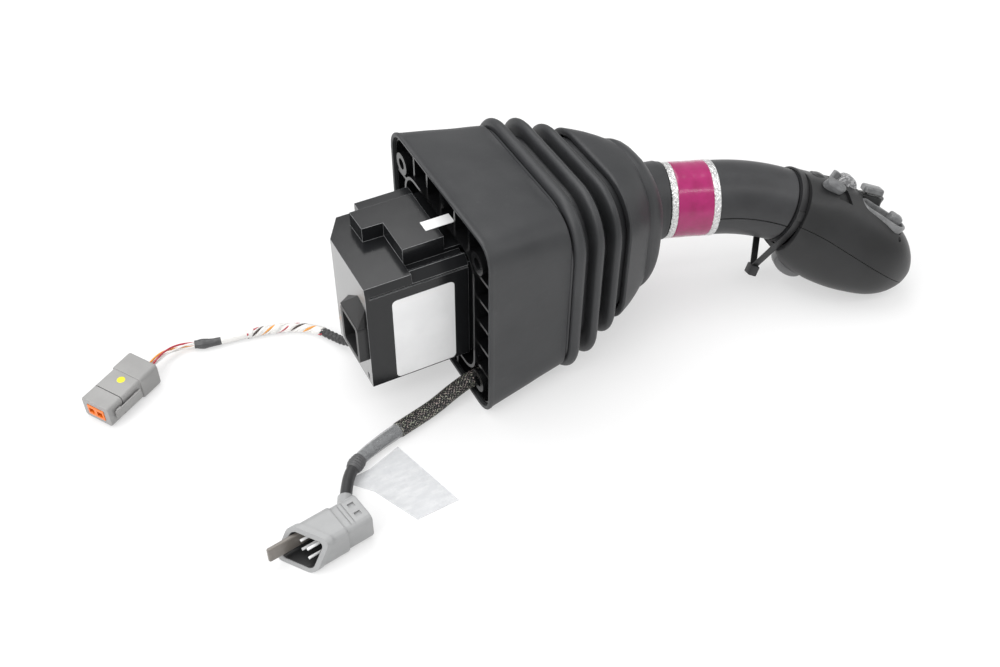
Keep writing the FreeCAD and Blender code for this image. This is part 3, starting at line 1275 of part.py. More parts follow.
def zip_tie():
    """Loose strap round the neck, a teardrop closed by its lock."""
    frame = neck_plane_placement()
    reach = STRAP_LOCK_REACH
    loops = []
    for near, far in ((STRAP_INNER + STRAP_THICKNESS, 1.0 + STRAP_THICKNESS), (STRAP_INNER, 1.0)):
        angle = math.acos((near - far) / reach)
        c, s = math.cos(angle), math.sin(angle)
        top, bottom = Vector(near * c, near * s, 0), Vector(near * c, -near * s, 0)
        tip_top, tip_bottom = Vector(reach + far * c, far * s, 0), Vector(reach + far * c, -far * s, 0)
        loops.append(Part.Wire([
            Part.Arc(top, Vector(-near, 0, 0), bottom).toShape(),
            Part.LineSegment(bottom, tip_bottom).toShape(),
            Part.Arc(tip_bottom, Vector(reach + far, 0, 0), tip_top).toShape(),
            Part.LineSegment(tip_top, top).toShape()]))
    strap = face_with_hole(loops[0], loops[1]).extrude(Vector(0, 0, STRAP_WIDTH))
    strap.translate(Vector(0, 0, -STRAP_WIDTH / 2))
    length, width, height = LOCK_SIZE
    lock = box_between((reach - length / 2, -width / 2, -height / 2), (reach + length / 2, width / 2, height / 2))
    return placed(fused([strap, lock]), frame)


def switch_parts():
    """Board behind the thumb face and the switches under the controls."""
    board = box_between((-24.0, -13.0, BOARD_N), (38.0, 13.0, BOARD_N + BOARD_THICKNESS))
    places = ((CAP_T, 0.0), (ROCKER_T, ROCKER_S), (KNOB_T, KNOB_S))
    switches = []
    half = SWITCH_SIZE / 2
    base = BOARD_N + BOARD_THICKNESS
    for t, s in places:
        switches.append(placed(box_between((t - half, s - half, base), (t + half, s + half, base + SWITCH_HEIGHT)),
                               HEAD_FRAME))
    return Part.makeCompound([placed(board, HEAD_FRAME)] + switches)


def pin_cylinders():
    """Pivot pins of the trigger and the thumb wheel, which also bore their seats."""
    reach = TRIGGER_HALF_WIDTH + 3.0
    trigger = Part.makeCylinder(TRIGGER_PIN_RADIUS, 2 * reach, head_point(TRIGGER_PIN_T, -reach, TRIGGER_PIN_N),
                                HEAD_S)
    reach = WHEEL_WIDTH / 2 + 2.5
    wheel = Part.makeCylinder(WHEEL_PIN_RADIUS, 2 * reach, head_point(WHEEL_T, -reach, WHEEL_N), HEAD_S)
    return [trigger, wheel]


def build():
    """Every node of the joystick."""
    parts = {}
    parts["boot_skirt"] = boot_skirt()
    parts["bellows_rear"] = bellows_rear()
    parts["bellows_front"] = bellows_front()
    parts["boot_cone"] = boot_cone()
    parts["mount_frame"] = mount_frame()
    parts["harness_grommet"] = grommet()
    parts["box_housing"] = box_housing()
    parts["rear_cover"] = rear_cover()
    parts["cover_screws"] = cover_screws()
    parts["header_shroud"] = header_shroud()
    parts["header_pins"] = header_pins()
    parts["circuit_board"] = Part.makeCompound([circuit_board(), board_chips()])
    parts["sensor_board"] = sensor_board()
    parts["thin_gland"] = thin_gland()
    parts["blank_labels"] = blank_labels()
    parts["gimbal_housing"] = gimbal_housing()
    parts["housing_screws"] = housing_screws()
    parts["yoke_bushes"] = yoke_bushes()
    parts["yoke_ring"] = yoke_ring()
    cheek_face = CHEEK_INNER_Y + CHEEK_THICKNESS
    parts["spring_fore"] = Part.makeCompound([coil_spring(Vector(PIVOT_X, side * cheek_face, 0), AXIS_Y * side,
                                                          STUB_RADIUS) for side in (-1, 1)])
    parts["spring_side"] = coil_spring(Vector(PIVOT_X, 0, YOKE_PAD_END), AXIS_Z, CROSS_PIN_RADIUS)
    shaft, pin, magnet, clamp = shaft_parts()
    parts["shaft"] = shaft
    parts["cross_pin"] = pin
    parts["sensor_magnet"] = magnet
    parts["shaft_clamp"] = clamp
    upper, lower = grip_tubes()
    parts["grip_upper_tube"] = upper
    parts["grip_lower_tube"] = lower
    colour, trims = band_rings()
    parts["colour_band"] = colour
    parts["band_trims"] = trims
    upper, lower = head_shells()
    parts["head_upper_shell"] = upper
    parts["head_lower_shell"] = lower
    parts["zip_tie"] = zip_tie()
    parts["switch_board"] = switch_parts()
    parts["control_pins"] = Part.makeCompound(pin_cylinders())
    parts.update(control_solids())
    braid = route_edges(BRAID_ROUTE)
    parts["braid_sleeve"] = cord_tube(braid, 0.0, BRAID_END, BRAID_DIAMETER)
    parts["clear_sleeve"] = cord_tube(braid, BRAID_END, SLEEVE_END, SLEEVE_DIAMETER,
                                      SLEEVE_END_DIAMETER)
    parts["tape_lump"] = cord_tube(braid, SLEEVE_END, LUMP_END, LUMP_DIAMETER)
    parts["black_sheath"] = cord_tube(braid, LUMP_END, route_length(braid), SHEATH_DIAMETER)
    parts["tag_flag"] = tag_flag()
    shell, wedge, pins = receptacle_parts()
    parts["receptacle_shell"] = shell
    parts["receptacle_wedge"] = wedge
    parts["receptacle_pins"] = pins
    thin = route_edges(THIN_ROUTE)
    parts["thin_sheath"] = cord_tube(thin, 0.0, THIN_SHEATH_END, THIN_DIAMETER)
    parts["wrap_sleeve"] = cord_tube(thin, THIN_SHEATH_END, WRAP_END, WRAP_DIAMETER)
    parts["white_sleeve"] = cord_tube(thin, WRAP_END, WHITE_END, WHITE_DIAMETER)
    parts["shrink_tube"] = cord_tube(thin, SHRINK_START, SHRINK_END, SHRINK_DIAMETER)
    parts["lead_wires"] = Part.makeCompound([cord_tube(thin, WHITE_END, SHRINK_START, WIRES_DIAMETER),
                                             cord_tube(thin, SHRINK_END, route_length(thin), WIRES_DIAMETER)])
    body, wedge, latch = plug_parts()
    parts["plug_body"] = body
    parts["plug_wedge"] = wedge
    parts["plug_latch"] = latch
    print("route lengths %.1f and %.1f mm" % (route_length(braid), route_length(thin)))
    print("radii", " ".join("%.0f" % radius for radius in route_edges.radii))
    return parts


os.makedirs("parts", exist_ok=True)
for node, shape in build().items():
    box = shape.BoundBox
    print("%-18s solids %d valid %s volume %8.0f  x %7.1f %7.1f  y %7.1f %7.1f  z %7.1f %7.1f" % (
        node, len(shape.Solids), shape.isValid(), shape.Volume, box.XMin, box.XMax, box.YMin, box.YMax,
        box.ZMin, box.ZMax))
    shape.exportStep("parts/" + node + ".step")
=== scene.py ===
"""Looks of a control joystick lying on its side: rubber boot, grip, controls, box and harnesses."""
import bmesh
import bpy
import json
import math
import random

from mathutils import Matrix, Vector, noise


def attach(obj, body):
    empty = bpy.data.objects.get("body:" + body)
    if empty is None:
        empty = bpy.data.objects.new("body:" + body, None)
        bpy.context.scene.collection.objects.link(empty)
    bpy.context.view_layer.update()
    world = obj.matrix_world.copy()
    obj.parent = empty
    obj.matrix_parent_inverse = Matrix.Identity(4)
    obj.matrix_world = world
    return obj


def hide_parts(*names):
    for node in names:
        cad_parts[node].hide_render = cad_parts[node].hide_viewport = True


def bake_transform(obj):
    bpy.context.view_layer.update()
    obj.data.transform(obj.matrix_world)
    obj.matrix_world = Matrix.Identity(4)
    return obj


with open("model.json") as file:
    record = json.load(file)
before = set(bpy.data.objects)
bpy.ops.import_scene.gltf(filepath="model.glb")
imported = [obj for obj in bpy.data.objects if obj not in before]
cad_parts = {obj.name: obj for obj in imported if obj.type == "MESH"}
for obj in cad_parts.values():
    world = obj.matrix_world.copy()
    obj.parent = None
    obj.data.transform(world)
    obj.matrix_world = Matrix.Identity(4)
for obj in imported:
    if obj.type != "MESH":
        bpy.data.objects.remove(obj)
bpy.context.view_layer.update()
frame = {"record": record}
MM = 0.001


# Camera at the photograph's angle
CAMERA_PLACE = Vector((-221.4, -494.0, 490.1)) * MM
CAMERA_HEADING = math.radians(28.0)
CAMERA_PITCH = math.radians(45.04)
CAMERA_ROLL = math.radians(0.66)
CAMERA_LENS = 43.9
FLOOR_Z = -66.0


def make_camera():
    """Camera with the heading, pitch and roll of the photograph."""
    ahead = Vector((math.sin(CAMERA_HEADING) * math.cos(CAMERA_PITCH),
                    math.cos(CAMERA_HEADING) * math.cos(CAMERA_PITCH), -math.sin(CAMERA_PITCH)))
    level = Vector((math.cos(CAMERA_HEADING), -math.sin(CAMERA_HEADING), 0.0))
    upward = level.cross(ahead)
    right = level * math.cos(CAMERA_ROLL) + upward * math.sin(CAMERA_ROLL)
    up = right.cross(ahead)
    data = bpy.data.cameras.new("photo_camera")
    data.lens = CAMERA_LENS
    data.sensor_width = 36.0
    data.clip_start = 0.01
    data.clip_end = 20.0
    camera = bpy.data.objects.new("photo_camera", data)
    turn = Matrix((right, up, -ahead)).transposed().to_4x4()
    camera.matrix_world = Matrix.Translation(CAMERA_PLACE) @ turn
    bpy.context.scene.collection.objects.link(camera)
    bpy.context.scene.camera = camera


class Wire:
    """A socket in a material's node tree, on which arithmetic adds Math nodes."""

    def __init__(self, finish, socket):
        self.finish = finish
        self.socket = socket

    def math(self, operation, first, second=None):
        values = {0: first}
        if second is not None:
            values[1] = second
        return self.finish.node("ShaderNodeMath", {"operation": operation}, values)

    def __add__(self, other):
        return self.math("ADD", self, other)

    def __radd__(self, other):
        return self.math("ADD", other, self)

    def __sub__(self, other):
        return self.math("SUBTRACT", self, other)

    def __rsub__(self, other):
        return self.math("SUBTRACT", other, self)

    def __mul__(self, other):
        return self.math("MULTIPLY", self, other)

    def __rmul__(self, other):
        return self.math("MULTIPLY", other, self)

    def step(self, low, high):
        """Zero below low, one above high, smooth between."""
        return self.finish.node("ShaderNodeMapRange", {"interpolation_type": "SMOOTHSTEP"},
                                {"Value": self, "From Min": low, "From Max": high})


class Finish:
    """A material under construction."""

    def __init__(self, name, colour, roughness, metallic=0.0, coat=0.0):
        self.material = bpy.data.materials.new(name)
        self.material.use_nodes = True
        self.tree = self.material.node_tree
        self.shader = self.tree.nodes["Principled BSDF"]
        self.set("Base Color", colour)
        self.set("Roughness", roughness)
        self.set("Metallic", metallic)
        self.set("Coat Weight", coat)

    def set(self, name, value):
        """Feed one input of the main shader."""
        self.feed(self.shader.inputs[name], value)

    def feed(self, socket, value):
        if isinstance(value, Wire):
            self.tree.links.new(value.socket, socket)
        elif isinstance(value, tuple) and len(value) == 3 and socket.type == "RGBA":
            socket.default_value = (*value, 1.0)
        else:
            socket.default_value = value

    def node(self, kind, settings, values, output=0):
        """Add a node, its settings first and then its inputs."""
        made = self.tree.nodes.new(kind)
        for key, value in settings.items():
            setattr(made, key, value)
        for key, value in values.items():
            self.feed(made.inputs[key], value)
        return Wire(self, made.outputs[output])

    def place(self):
        """Position on the object, in metres."""
        return self.node("ShaderNodeTexCoord", {}, {}, "Object")

    def noise(self, scale, detail, roughness, stretch=None):
        """Noise between 0 and 1; scale is lumps per metre."""
        where = self.place()
        if stretch:
            where = self.node("ShaderNodeMapping", {}, {"Vector": where, "Scale": stretch})
        return self.node("ShaderNodeTexNoise", {},
                         {"Vector": where, "Scale": scale, "Detail": detail, "Roughness": roughness}, "Fac")

    def uv(self):
        """Distance along and round a piece that carries its own map."""
        where = self.node("ShaderNodeUVMap", {"uv_map": "UVMap"}, {})
        along = self.node("ShaderNodeSeparateXYZ", {}, {0: where})
        return along, Wire(self, along.socket.node.outputs[1])

    def mix(self, share, first, second):
        """Colour between two colours."""
        return self.node("ShaderNodeMix", {"data_type": "RGBA"}, {0: share, 6: first, 7: second}, 2)

    def bump(self, height, distance):
        """Raise the surface by a height field; distance is in metres."""
        self.set("Normal", self.node("ShaderNodeBump", {}, {"Height": height, "Distance": distance}))


def shade(colour, factor, most=0.97):
    """Darker or lighter version of a colour."""
    return tuple(min(most, part * factor) for part in colour)


def grained(name, colour, roughness, grain=2600.0, depth=0.00004, cloud=0.18):
    """Moulded surface with fine grain, faint clouds in its colour and uneven gloss."""
    finish = Finish(name, colour, roughness)
    clouds = finish.noise(38.0, 4.0, 0.6)
    finish.set("Base Color", finish.mix(clouds.step(0.3, 0.7), shade(colour, 1.0 - cloud),
                                        shade(colour, 1.0 + cloud)))
    fine = finish.noise(grain, 2.0, 0.5)
    finish.set("Roughness", fine * 0.10 + clouds * 0.10 + (roughness - 0.10))
    finish.bump(fine, depth)
    return finish.material


def boot_rubber():
    """Soft black rubber with cloudy sheen and a little dust."""
    finish = Finish("boot_rubber", (0.026, 0.027, 0.029), 0.5)
    clouds = finish.noise(24.0, 4.0, 0.55)
    dust = finish.noise(150.0, 5.0, 0.65).step(0.62, 0.8)
    base = finish.mix(clouds.step(0.3, 0.7), (0.021, 0.022, 0.024), (0.033, 0.034, 0.036))
    finish.set("Base Color", finish.mix(dust * 0.25, base, (0.075, 0.076, 0.078)))
    fine = finish.noise(1900.0, 2.0, 0.5)
    finish.set("Roughness", clouds * 0.14 + fine * 0.06 + 0.38)
    finish.bump(fine * 0.6 + finish.noise(300.0, 3.0, 0.5) * 0.9, 0.00006)
    return finish.material


def coloured_film():
    """Glossy film with faint clouds."""
    finish = Finish("coloured_film", (0.42, 0.012, 0.17), 0.22, coat=0.35)
    finish.set("Coat Roughness", 0.12)
    clouds = finish.noise(60.0, 3.0, 0.6)
    finish.set("Base Color", finish.mix(clouds.step(0.35, 0.7), (0.29, 0.004, 0.09),
                                        (0.37, 0.008, 0.125)))
    finish.set("Roughness", clouds * 0.14 + 0.16)
    finish.bump(finish.noise(220.0, 3.0, 0.5), 0.00006)
    return finish.material


def crinkled_foil():
    """Bright metal foil with creases."""
    finish = Finish("crinkled_foil", (0.78, 0.78, 0.77), 0.3, metallic=1.0)
    creases = finish.node("ShaderNodeTexVoronoi", {"feature": "DISTANCE_TO_EDGE"},
                          {"Vector": finish.place(), "Scale": 420.0}, "Distance")
    lumps = finish.noise(900.0, 3.0, 0.6)
    finish.set("Base Color", finish.mix(lumps.step(0.3, 0.7), (0.62, 0.62, 0.62), (0.9, 0.9, 0.89)))
    finish.set("Roughness", lumps * 0.3 + 0.16)
    finish.bump(creases.step(0.0, 0.25) * 0.6 + lumps, 0.0005)
    return finish.material


def box_plastic(name, coat, shine):
    """Glossy black moulding with fine scuffs."""
    finish = Finish(name, (0.011, 0.0115, 0.0125), 0.2, coat=coat)
    finish.set("Specular IOR Level", shine)
    finish.set("Coat Roughness", 0.22)
    scuffs = finish.noise(420.0, 5.0, 0.7, (1.0, 0.25, 1.0)).step(0.66, 0.8)
    clouds = finish.noise(45.0, 3.0, 0.5)
    finish.set("Base Color", finish.mix(scuffs * 0.25, (0.011, 0.0115, 0.0125), (0.05, 0.05, 0.052)))
    finish.set("Roughness", clouds * 0.10 + scuffs * 0.2 + 0.14)
    finish.bump(finish.noise(1500.0, 2.0, 0.5) * 0.5 + finish.noise(60.0, 2.0, 0.5), 0.00003)
    return finish.material


def control_plastic(name, worn, clean):
    """Grey satin plastic of the buttons, darker where thumbs wear it."""
    finish = Finish(name, clean, 0.34)
    wear = finish.noise(240.0, 4.0, 0.6)
    finish.set("Base Color", finish.mix(wear.step(0.35, 0.7), worn, clean))
    finish.set("Roughness", wear * 0.2 + 0.2)
    finish.bump(finish.noise(2600.0, 2.0, 0.5), 0.00004)
    return finish.material


def wheel_plastic_painted_glints():
    """Grey plastic of the knurled wheel, with random facets painted lighter as painted glints."""
    finish = Finish("wheel_plastic_painted_glints", (0.2, 0.2, 0.205), 0.25)
    facets = finish.node("ShaderNodeTexVoronoi", {}, {"Vector": finish.place(), "Scale": 850.0}, "Color")
    split = finish.node("ShaderNodeSeparateColor", {}, {"Color": facets})
    # Painted glints: random facet cells get a lighter grey
    finish.set("Base Color", finish.mix(split.step(0.35, 0.8), (0.2, 0.2, 0.205), (0.42, 0.42, 0.425)))
    finish.set("Roughness", split * 0.3 + 0.14)
    finish.bump(split, 0.0001)
    return finish.material


# Strands of the braid, and the length in which each goes once round
BRAID_STRANDS = 14
BRAID_PITCH = 2.45


def braid_weave():
    """Black braided strands, painted lighter on their crests and darker in the gaps as painted light and
    shade, with pale flecks on the crests that are partly pale threads and partly painted highlight.
    """
    finish = Finish("braid_weave", (0.02, 0.02, 0.021), 0.4)
    along, around = finish.uv()
    turn = around * (2 * math.pi * BRAID_STRANDS)
    climb = along * (2 * math.pi / (BRAID_PITCH * MM))
    first = finish.node("ShaderNodeMath", {"operation": "COSINE"}, {0: turn + climb})
    second = finish.node("ShaderNodeMath", {"operation": "COSINE"}, {0: turn - climb})
    raised = first.math("MAXIMUM", first, second).step(0.45, 0.95)
    # Pale flecks on the crests: partly pale threads, partly painted highlight
    pale_fleck_and_glint = finish.noise(1100.0, 2.0, 0.6).step(0.5, 0.6)
    patches = finish.noise(400.0, 2.0, 0.5).step(0.45, 0.55)
    tint = finish.mix(patches, (0.62, 0.64, 0.5), (0.55, 0.45, 0.42))
    # Painted light and shade: lighter on the strand crests, darker in the gaps
    strands = finish.mix(raised, (0.003, 0.003, 0.003), (0.02, 0.02, 0.02))
    finish.set("Base Color", finish.mix(raised * pale_fleck_and_glint * 0.8, strands, tint))
    finish.set("Roughness", pale_fleck_and_glint * 0.2 + 0.3)
    return finish.material


def clear_film(name, colour, alpha):
    """See-through film with faint cloudiness, and lighter streaks that are partly whitened creases and
    partly painted highlight.
    """
    finish = Finish(name, colour, 0.2)
    haze = finish.noise(160.0, 4.0, 0.6)
    finish.set("Alpha", haze * 0.3 + (alpha - 0.15))
    # Lighter streaks: partly whitened creases, partly painted highlight
    creases = finish.noise(300.0, 3.0, 0.6, (0.35, 1.0, 1.0)).step(0.4, 0.75)
    finish.set("Base Color", finish.mix(creases * 0.4, shade(colour, 0.8), shade(colour, 1.3, 0.95)))
    finish.set("Roughness", haze * 0.25 + 0.12)
    finish.bump(finish.noise(180.0, 3.0, 0.5), 0.0002)
    return finish.material


def metal(name, colour, roughness):
    """Turned or drawn metal with fine lines."""
    finish = Finish(name, colour, roughness, metallic=1.0)
    lines = finish.noise(900.0, 2.0, 0.6, (0.15, 1.0, 1.0))
    finish.set("Roughness", lines * 0.2 + (roughness - 0.08))
    finish.bump(lines, 0.00002)
    return finish.material


RUBBER = boot_rubber()
GRIP = grained("grip_plastic", (0.028, 0.0285, 0.0305), 0.4, 2200.0, 0.00005)
HEAD = grained("head_plastic", (0.0125, 0.0127, 0.0133), 0.4, 2200.0, 0.00005)
# Painted shade: darker than the other black plastics so that the deep gap round the frame reads dark
FRAME_SHADE_BLACK = grained("frame_plastic", (0.0045, 0.0046, 0.005), 0.24, 1500.0, 0.00005)
SOCKET = grained("socket_plastic", (0.017, 0.0172, 0.018), 0.4, 1800.0, 0.00005)
BOX = box_plastic("box_plastic", 0.0, 0.36)
BOX_END = box_plastic("box_end_plastic", 1.0, 0.5)
# Painted highlight: a light grey for the box's rounded edge strips, standing in for the light they catch
BOX_EDGE_HIGHLIGHT = grained("box_edge_painted_highlight", (0.30, 0.305, 0.31), 0.26, 1500.0, 0.00003, 0.35)
FILM = coloured_film()
FOIL = crinkled_foil()
CONTROL = control_plastic("control_plastic", (0.115, 0.117, 0.12), (0.17, 0.172, 0.175))
RIM_GREY = control_plastic("rim_grey", (0.15, 0.152, 0.155), (0.2, 0.202, 0.205))
WHEEL_GREY_GLINTS = wheel_plastic_painted_glints()
TRIGGER_GREY = grained("trigger_grey", (0.13, 0.131, 0.133), 0.36)
STRAP = grained("strap_nylon", (0.02, 0.02, 0.021), 0.42, 1200.0, 0.00003)
BLANK = grained("blank_plate", (0.86, 0.862, 0.865), 0.38, 1500.0, 0.00002, 0.03)
BRAID = braid_weave()
CLEAR = clear_film("clear_tube", (0.42, 0.43, 0.44), 0.5)
TAG = clear_film("tag_film", (0.8, 0.815, 0.84), 0.45)
TAPE = grained("tape", (0.07, 0.07, 0.072), 0.42, 900.0, 0.0001)
SHEATH = grained("sheath", (0.03, 0.03, 0.031), 0.42, 900.0, 0.00008)
GREY = grained("connector_grey", (0.29, 0.287, 0.283), 0.42, 1700.0, 0.00003, 0.07)
LIGHT_GREY = grained("receptacle_grey", (0.315, 0.318, 0.32), 0.36, 1700.0, 0.00003, 0.06)
# Painted shade: a darker, browner grey than the receptacle, for the shade the tongue lies in
TONGUE_SHADE_GREY = grained("tongue_painted_shade", (0.16, 0.145, 0.13), 0.3)
ROOF = grained("roof_plastic", (0.005, 0.0052, 0.0056), 0.5, 1500.0, 0.00003, 0.12)
DARK_STEEL = metal("dark_steel", (0.1, 0.1, 0.105), 0.4)
ORANGE = grained("wedge_orange", (0.75, 0.17, 0.015), 0.36, 1700.0, 0.00003, 0.08)
YELLOW = grained("paint_yellow", (0.75, 0.68, 0.03), 0.5, 900.0, 0.00008, 0.1)
BOARD = grained("board_laminate", (0.02, 0.12, 0.05), 0.35, 700.0, 0.00003)
WIRE_WHITE, WIRE_ORANGE, WIRE_RED, WIRE_DARK = [
    grained(name, colour, 0.36, 1500.0, 0.00002, 0.05)
    for name, colour in (("wire_white", (0.75, 0.74, 0.72)), ("wire_orange", (0.8, 0.33, 0.04)),
                         ("wire_red", (0.45, 0.035, 0.06)), ("wire_dark", (0.05, 0.035, 0.03)))]
STEEL = metal("steel", (0.56, 0.56, 0.57), 0.3)
BRONZE = metal("bush_bronze", (0.6, 0.42, 0.22), 0.3)
ALUMINIUM = metal("yoke_metal", (0.68, 0.68, 0.69), 0.36)
CONTACT = metal("contact_metal", (0.75, 0.68, 0.5), 0.2)


def new_object(name, mesh):
    """Put a mesh in the scene."""
    made = bpy.data.objects.new(name, mesh)
    bpy.context.scene.collection.objects.link(made)
    return made


def mesh_object(name, points, faces):
    """Object from points in millimetres and faces."""
    mesh = bpy.data.meshes.new(name)
    mesh.from_pydata([(p[0] * MM, p[1] * MM, p[2] * MM) for p in points], [], faces)
    mesh.update()
    return new_object(name, mesh)


def tidy_normals(made):
    """Merge doubles and turn faces outwards."""
    work = bmesh.new()
    work.from_mesh(made.data)
    bmesh.ops.remove_doubles(work, verts=work.verts, dist=0.002 * MM)
    bmesh.ops.recalc_face_normals(work, faces=work.faces)
    work.to_mesh(made.data)
    work.free()
    return made


def settle(made):
    """Turn an object's modifiers into plain mesh."""
    graph = bpy.context.evaluated_depsgraph_get()
    mesh = bpy.data.meshes.new_from_object(made.evaluated_get(graph))
    made.modifiers.clear()
    made.data = mesh
    return made


def smooth(made, angle=35.0):
    """Smooth shading with creases kept sharp."""
    made.data.shade_smooth()
    made.data.set_sharp_from_angle(angle=math.radians(angle))
    return made


def crisp(made):
    """Smooth shading that keeps large faces flat beside their rounded edges."""
    smooth(made, 40)
    weighted = made.modifiers.new("weighted", "WEIGHTED_NORMAL")
    weighted.mode = "FACE_AREA"
    weighted.weight = 50
    weighted.keep_sharp = True
    return settle(made)


def bevelled(made, width, angle=35.0, edge_slot=-1):
    """Round the sharp edges; edge_slot is the material slot of the rounded strips."""
    bevel = made.modifiers.new("bevel", "BEVEL")
    bevel.width = width * MM
    bevel.segments = 2
    bevel.limit_method = "ANGLE"
    bevel.angle_limit = math.radians(angle)
    bevel.use_clamp_overlap = True
    bevel.material = edge_slot
    return settle(made)


def combined(made, others, operation):
    """Union with, or difference from, other closed meshes."""
    for other in others:
        cut = made.modifiers.new("combine", "BOOLEAN")
        cut.operation = operation
        cut.solver = "EXACT"
        cut.object = other
    settle(made)
    for other in others:
        bpy.data.objects.remove(other)
    return made


def dress(made, material, body, nodes=()):
    """Give a piece its material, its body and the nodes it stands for."""
    if not made.data.materials:
        made.data.materials.append(material)
    if body:
        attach(made, body)
    if nodes:
        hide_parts(*nodes)
    return made


def loft(name, loops, closed_ring=False):
    """Skin through loops of equally many points; closed_ring joins the last loop to the first."""
    count = len(loops[0])
    points = [p for loop in loops for p in loop]
    faces = []
    rows = len(loops) if closed_ring else len(loops) - 1
    for row in range(rows):
        base = row * count
        upper = ((row + 1) % len(loops)) * count
        for index in range(count):
            following = (index + 1) % count
            faces.append((base + index, base + following, upper + following, upper + index))
    if not closed_ring:
        faces.append(tuple(reversed(range(count))))
        faces.append(tuple(range((len(loops) - 1) * count, len(loops) * count)))
    return mesh_object(name, points, faces)


def object_of(name, work):
    """Put a bmesh in the scene as an object."""
    mesh = bpy.data.meshes.new(name)
    work.to_mesh(mesh)
    work.free()
    return new_object(name, mesh)


def joined(name, objects):
    """Several objects as one."""
    work = bmesh.new()
    for made in objects:
        work.from_mesh(made.data)
        bpy.data.objects.remove(made)
    return object_of(name, work)


def between(first, last, share):
    """Value part of the way from first to last."""
    return first + (last - first) * share


def even_angles(count):
    """Angles of a full turn in even steps."""
    return [2 * math.pi * index / count for index in range(count)]


def circle(matrix, radius, height, angles):
    """Points round the third axis of a frame."""
    return [matrix @ Vector((radius * math.cos(a), radius * math.sin(a), height)) for a in angles]


# Boot. Stations give the distance along the shaft, the half width and the half height; rings give
# their start and end first; rims and edges give a distance and an inset. The directions round it are
# closest together at the corners
QUADRANT = (0, 8, 16, 23, 28, 32, 35, 38, 40.5, 43, 45, 47, 49.5, 52, 55, 58, 62, 67, 74, 82)
ANGLES = [math.radians(90 * turn + step) for turn in range(4) for step in QUADRANT]
RUBBER_WALL = 2.5
FOLD_WALL = 1.8
CONE_WALL = 2.0
SKIRT_LENGTH = 54.0
SKIRT_STEPS = 24
SKIRT_REAR = (65.7, 66.0, 14.0)
SKIRT_FRONT = (60.5, 60.0, 19.5)
SKIRT_RIM = ((0.0, 0.8), (0.25, 0.3), (0.8, 0.0), (2.4, 0.0), (3.2, 0.25), (4.0, 0.3))
SKIRT_LIP = [(SKIRT_LENGTH, 60.2, 59.7), (SKIRT_LENGTH + 0.4, 60.9, 60.4), (54.9, 61.2, 60.8),
             (55.3, 61.0, 60.6), (55.7, 59.9, 60.0)]
DENT_SPACING = 0.035
DENT_SHIFT = Vector((3.1, 0.4, 7.7))
DENT_DEPTH = 1.1
RINGS = ((55.6, 63.6, 64.0, 65.3), (70.6, 77.9, 60.5, 63.0), (86.1, 93.4, 54.9, 57.2))
RING_CORNER = 29.0
RING_STEPS = 8
RING_FULLNESS = 0.62
FIRST_VALLEY_DEPTH = 5.5
VALLEY_DEPTH = 9.4
VALLEY_SHARE = 0.85
VALLEY_FLOOR = ((-0.6, 0.3), (0.0, 0.0), (0.6, 0.3))
FOLD_TAIL = [(95.0, 46.9, 49.5), (96.6, 46.3, 49.2), (99.0, 46.2, 49.4), (103.5, 45.2, 49.6)]
CONE_REAR = (99.8, 50.5, 54.0)
CONE_EDGE = ((-0.2, 1.6), (0.4, 0.5))
CONE_SWELL = 0.7
CONE_RIM = (124.3, 37.0, 51.0)
CONE_DROP = -2.4
RIM_STEP = 0.8
RIM_CORNER = 34.0
DOME_LENGTH = 14.5
DOME_STEPS = 14
DOME_FULLNESS = 0.95
NECK_RADIUS = 24.9
NECK_STATIONS = ((1.0, 0.6), (2.4, 0.15), (3.6, 0.0), (4.7, -0.1), (5.2, -0.6))


def outline_reach(half_y, half_z, corner, angle):
    """Distance from the middle of a rounded rectangle to its edge in one direction."""
    c = abs(math.cos(angle))
    s = abs(math.sin(angle))
    if c > 1e-6 and half_y / c * s <= half_z - corner:
        return half_y / c
    if s > 1e-6 and half_z / s * c <= half_y - corner:
        return half_z / s
    middle = (half_y - corner) * c + (half_z - corner) * s
    square = (half_y - corner) ** 2 + (half_z - corner) ** 2 - corner ** 2
    return middle + math.sqrt(max(middle * middle - square, 0.0))


def outline(x, half_y, half_z, corner, drop=0.0):
    """Rounded rectangle across the shaft at x."""
    corner = max(min(corner, half_y - 0.2, half_z - 0.2), 0.5)
    loop = []
    for angle in ANGLES:
        reach = outline_reach(half_y, half_z, corner, angle)
        loop.append(Vector((x, reach * math.cos(angle), drop + reach * math.sin(angle))))
    return loop


def skirt_loop(x, inset, rounding=0.0):
    """Outline of the skirt at x, taken in."""
    share = x / SKIRT_LENGTH
    half_y, half_z, corner = [between(rear, front, share) for rear, front in zip(SKIRT_REAR, SKIRT_FRONT)]
    return outline(x, half_y - inset, half_z - inset, corner - rounding)


def make_skirt():
    """Tapered skirt with a rounded rim and soft dents."""
    rim_end, inset = SKIRT_RIM[-1]
    outer = [skirt_loop(*station) for station in SKIRT_RIM]
    outer += [skirt_loop(between(rim_end, SKIRT_LENGTH, step / SKIRT_STEPS), inset)
              for step in range(1, SKIRT_STEPS + 1)]
    inner = [skirt_loop(between(SKIRT_LENGTH, 0.3, step / 13), RUBBER_WALL, 2) for step in range(14)]
    for loop in outer[len(SKIRT_RIM):-1]:
        for point in loop:
            wave = noise.noise(point * DENT_SPACING + DENT_SHIFT)
            across = Vector((0.0, point.y, point.z)).normalized()
            point -= across * (max(wave, 0.0) * DENT_DEPTH)
    made = loft("boot_skirt_rubber", outer + inner, True)
    dress(smooth(tidy_normals(made)), RUBBER, "base", ["boot_skirt"])


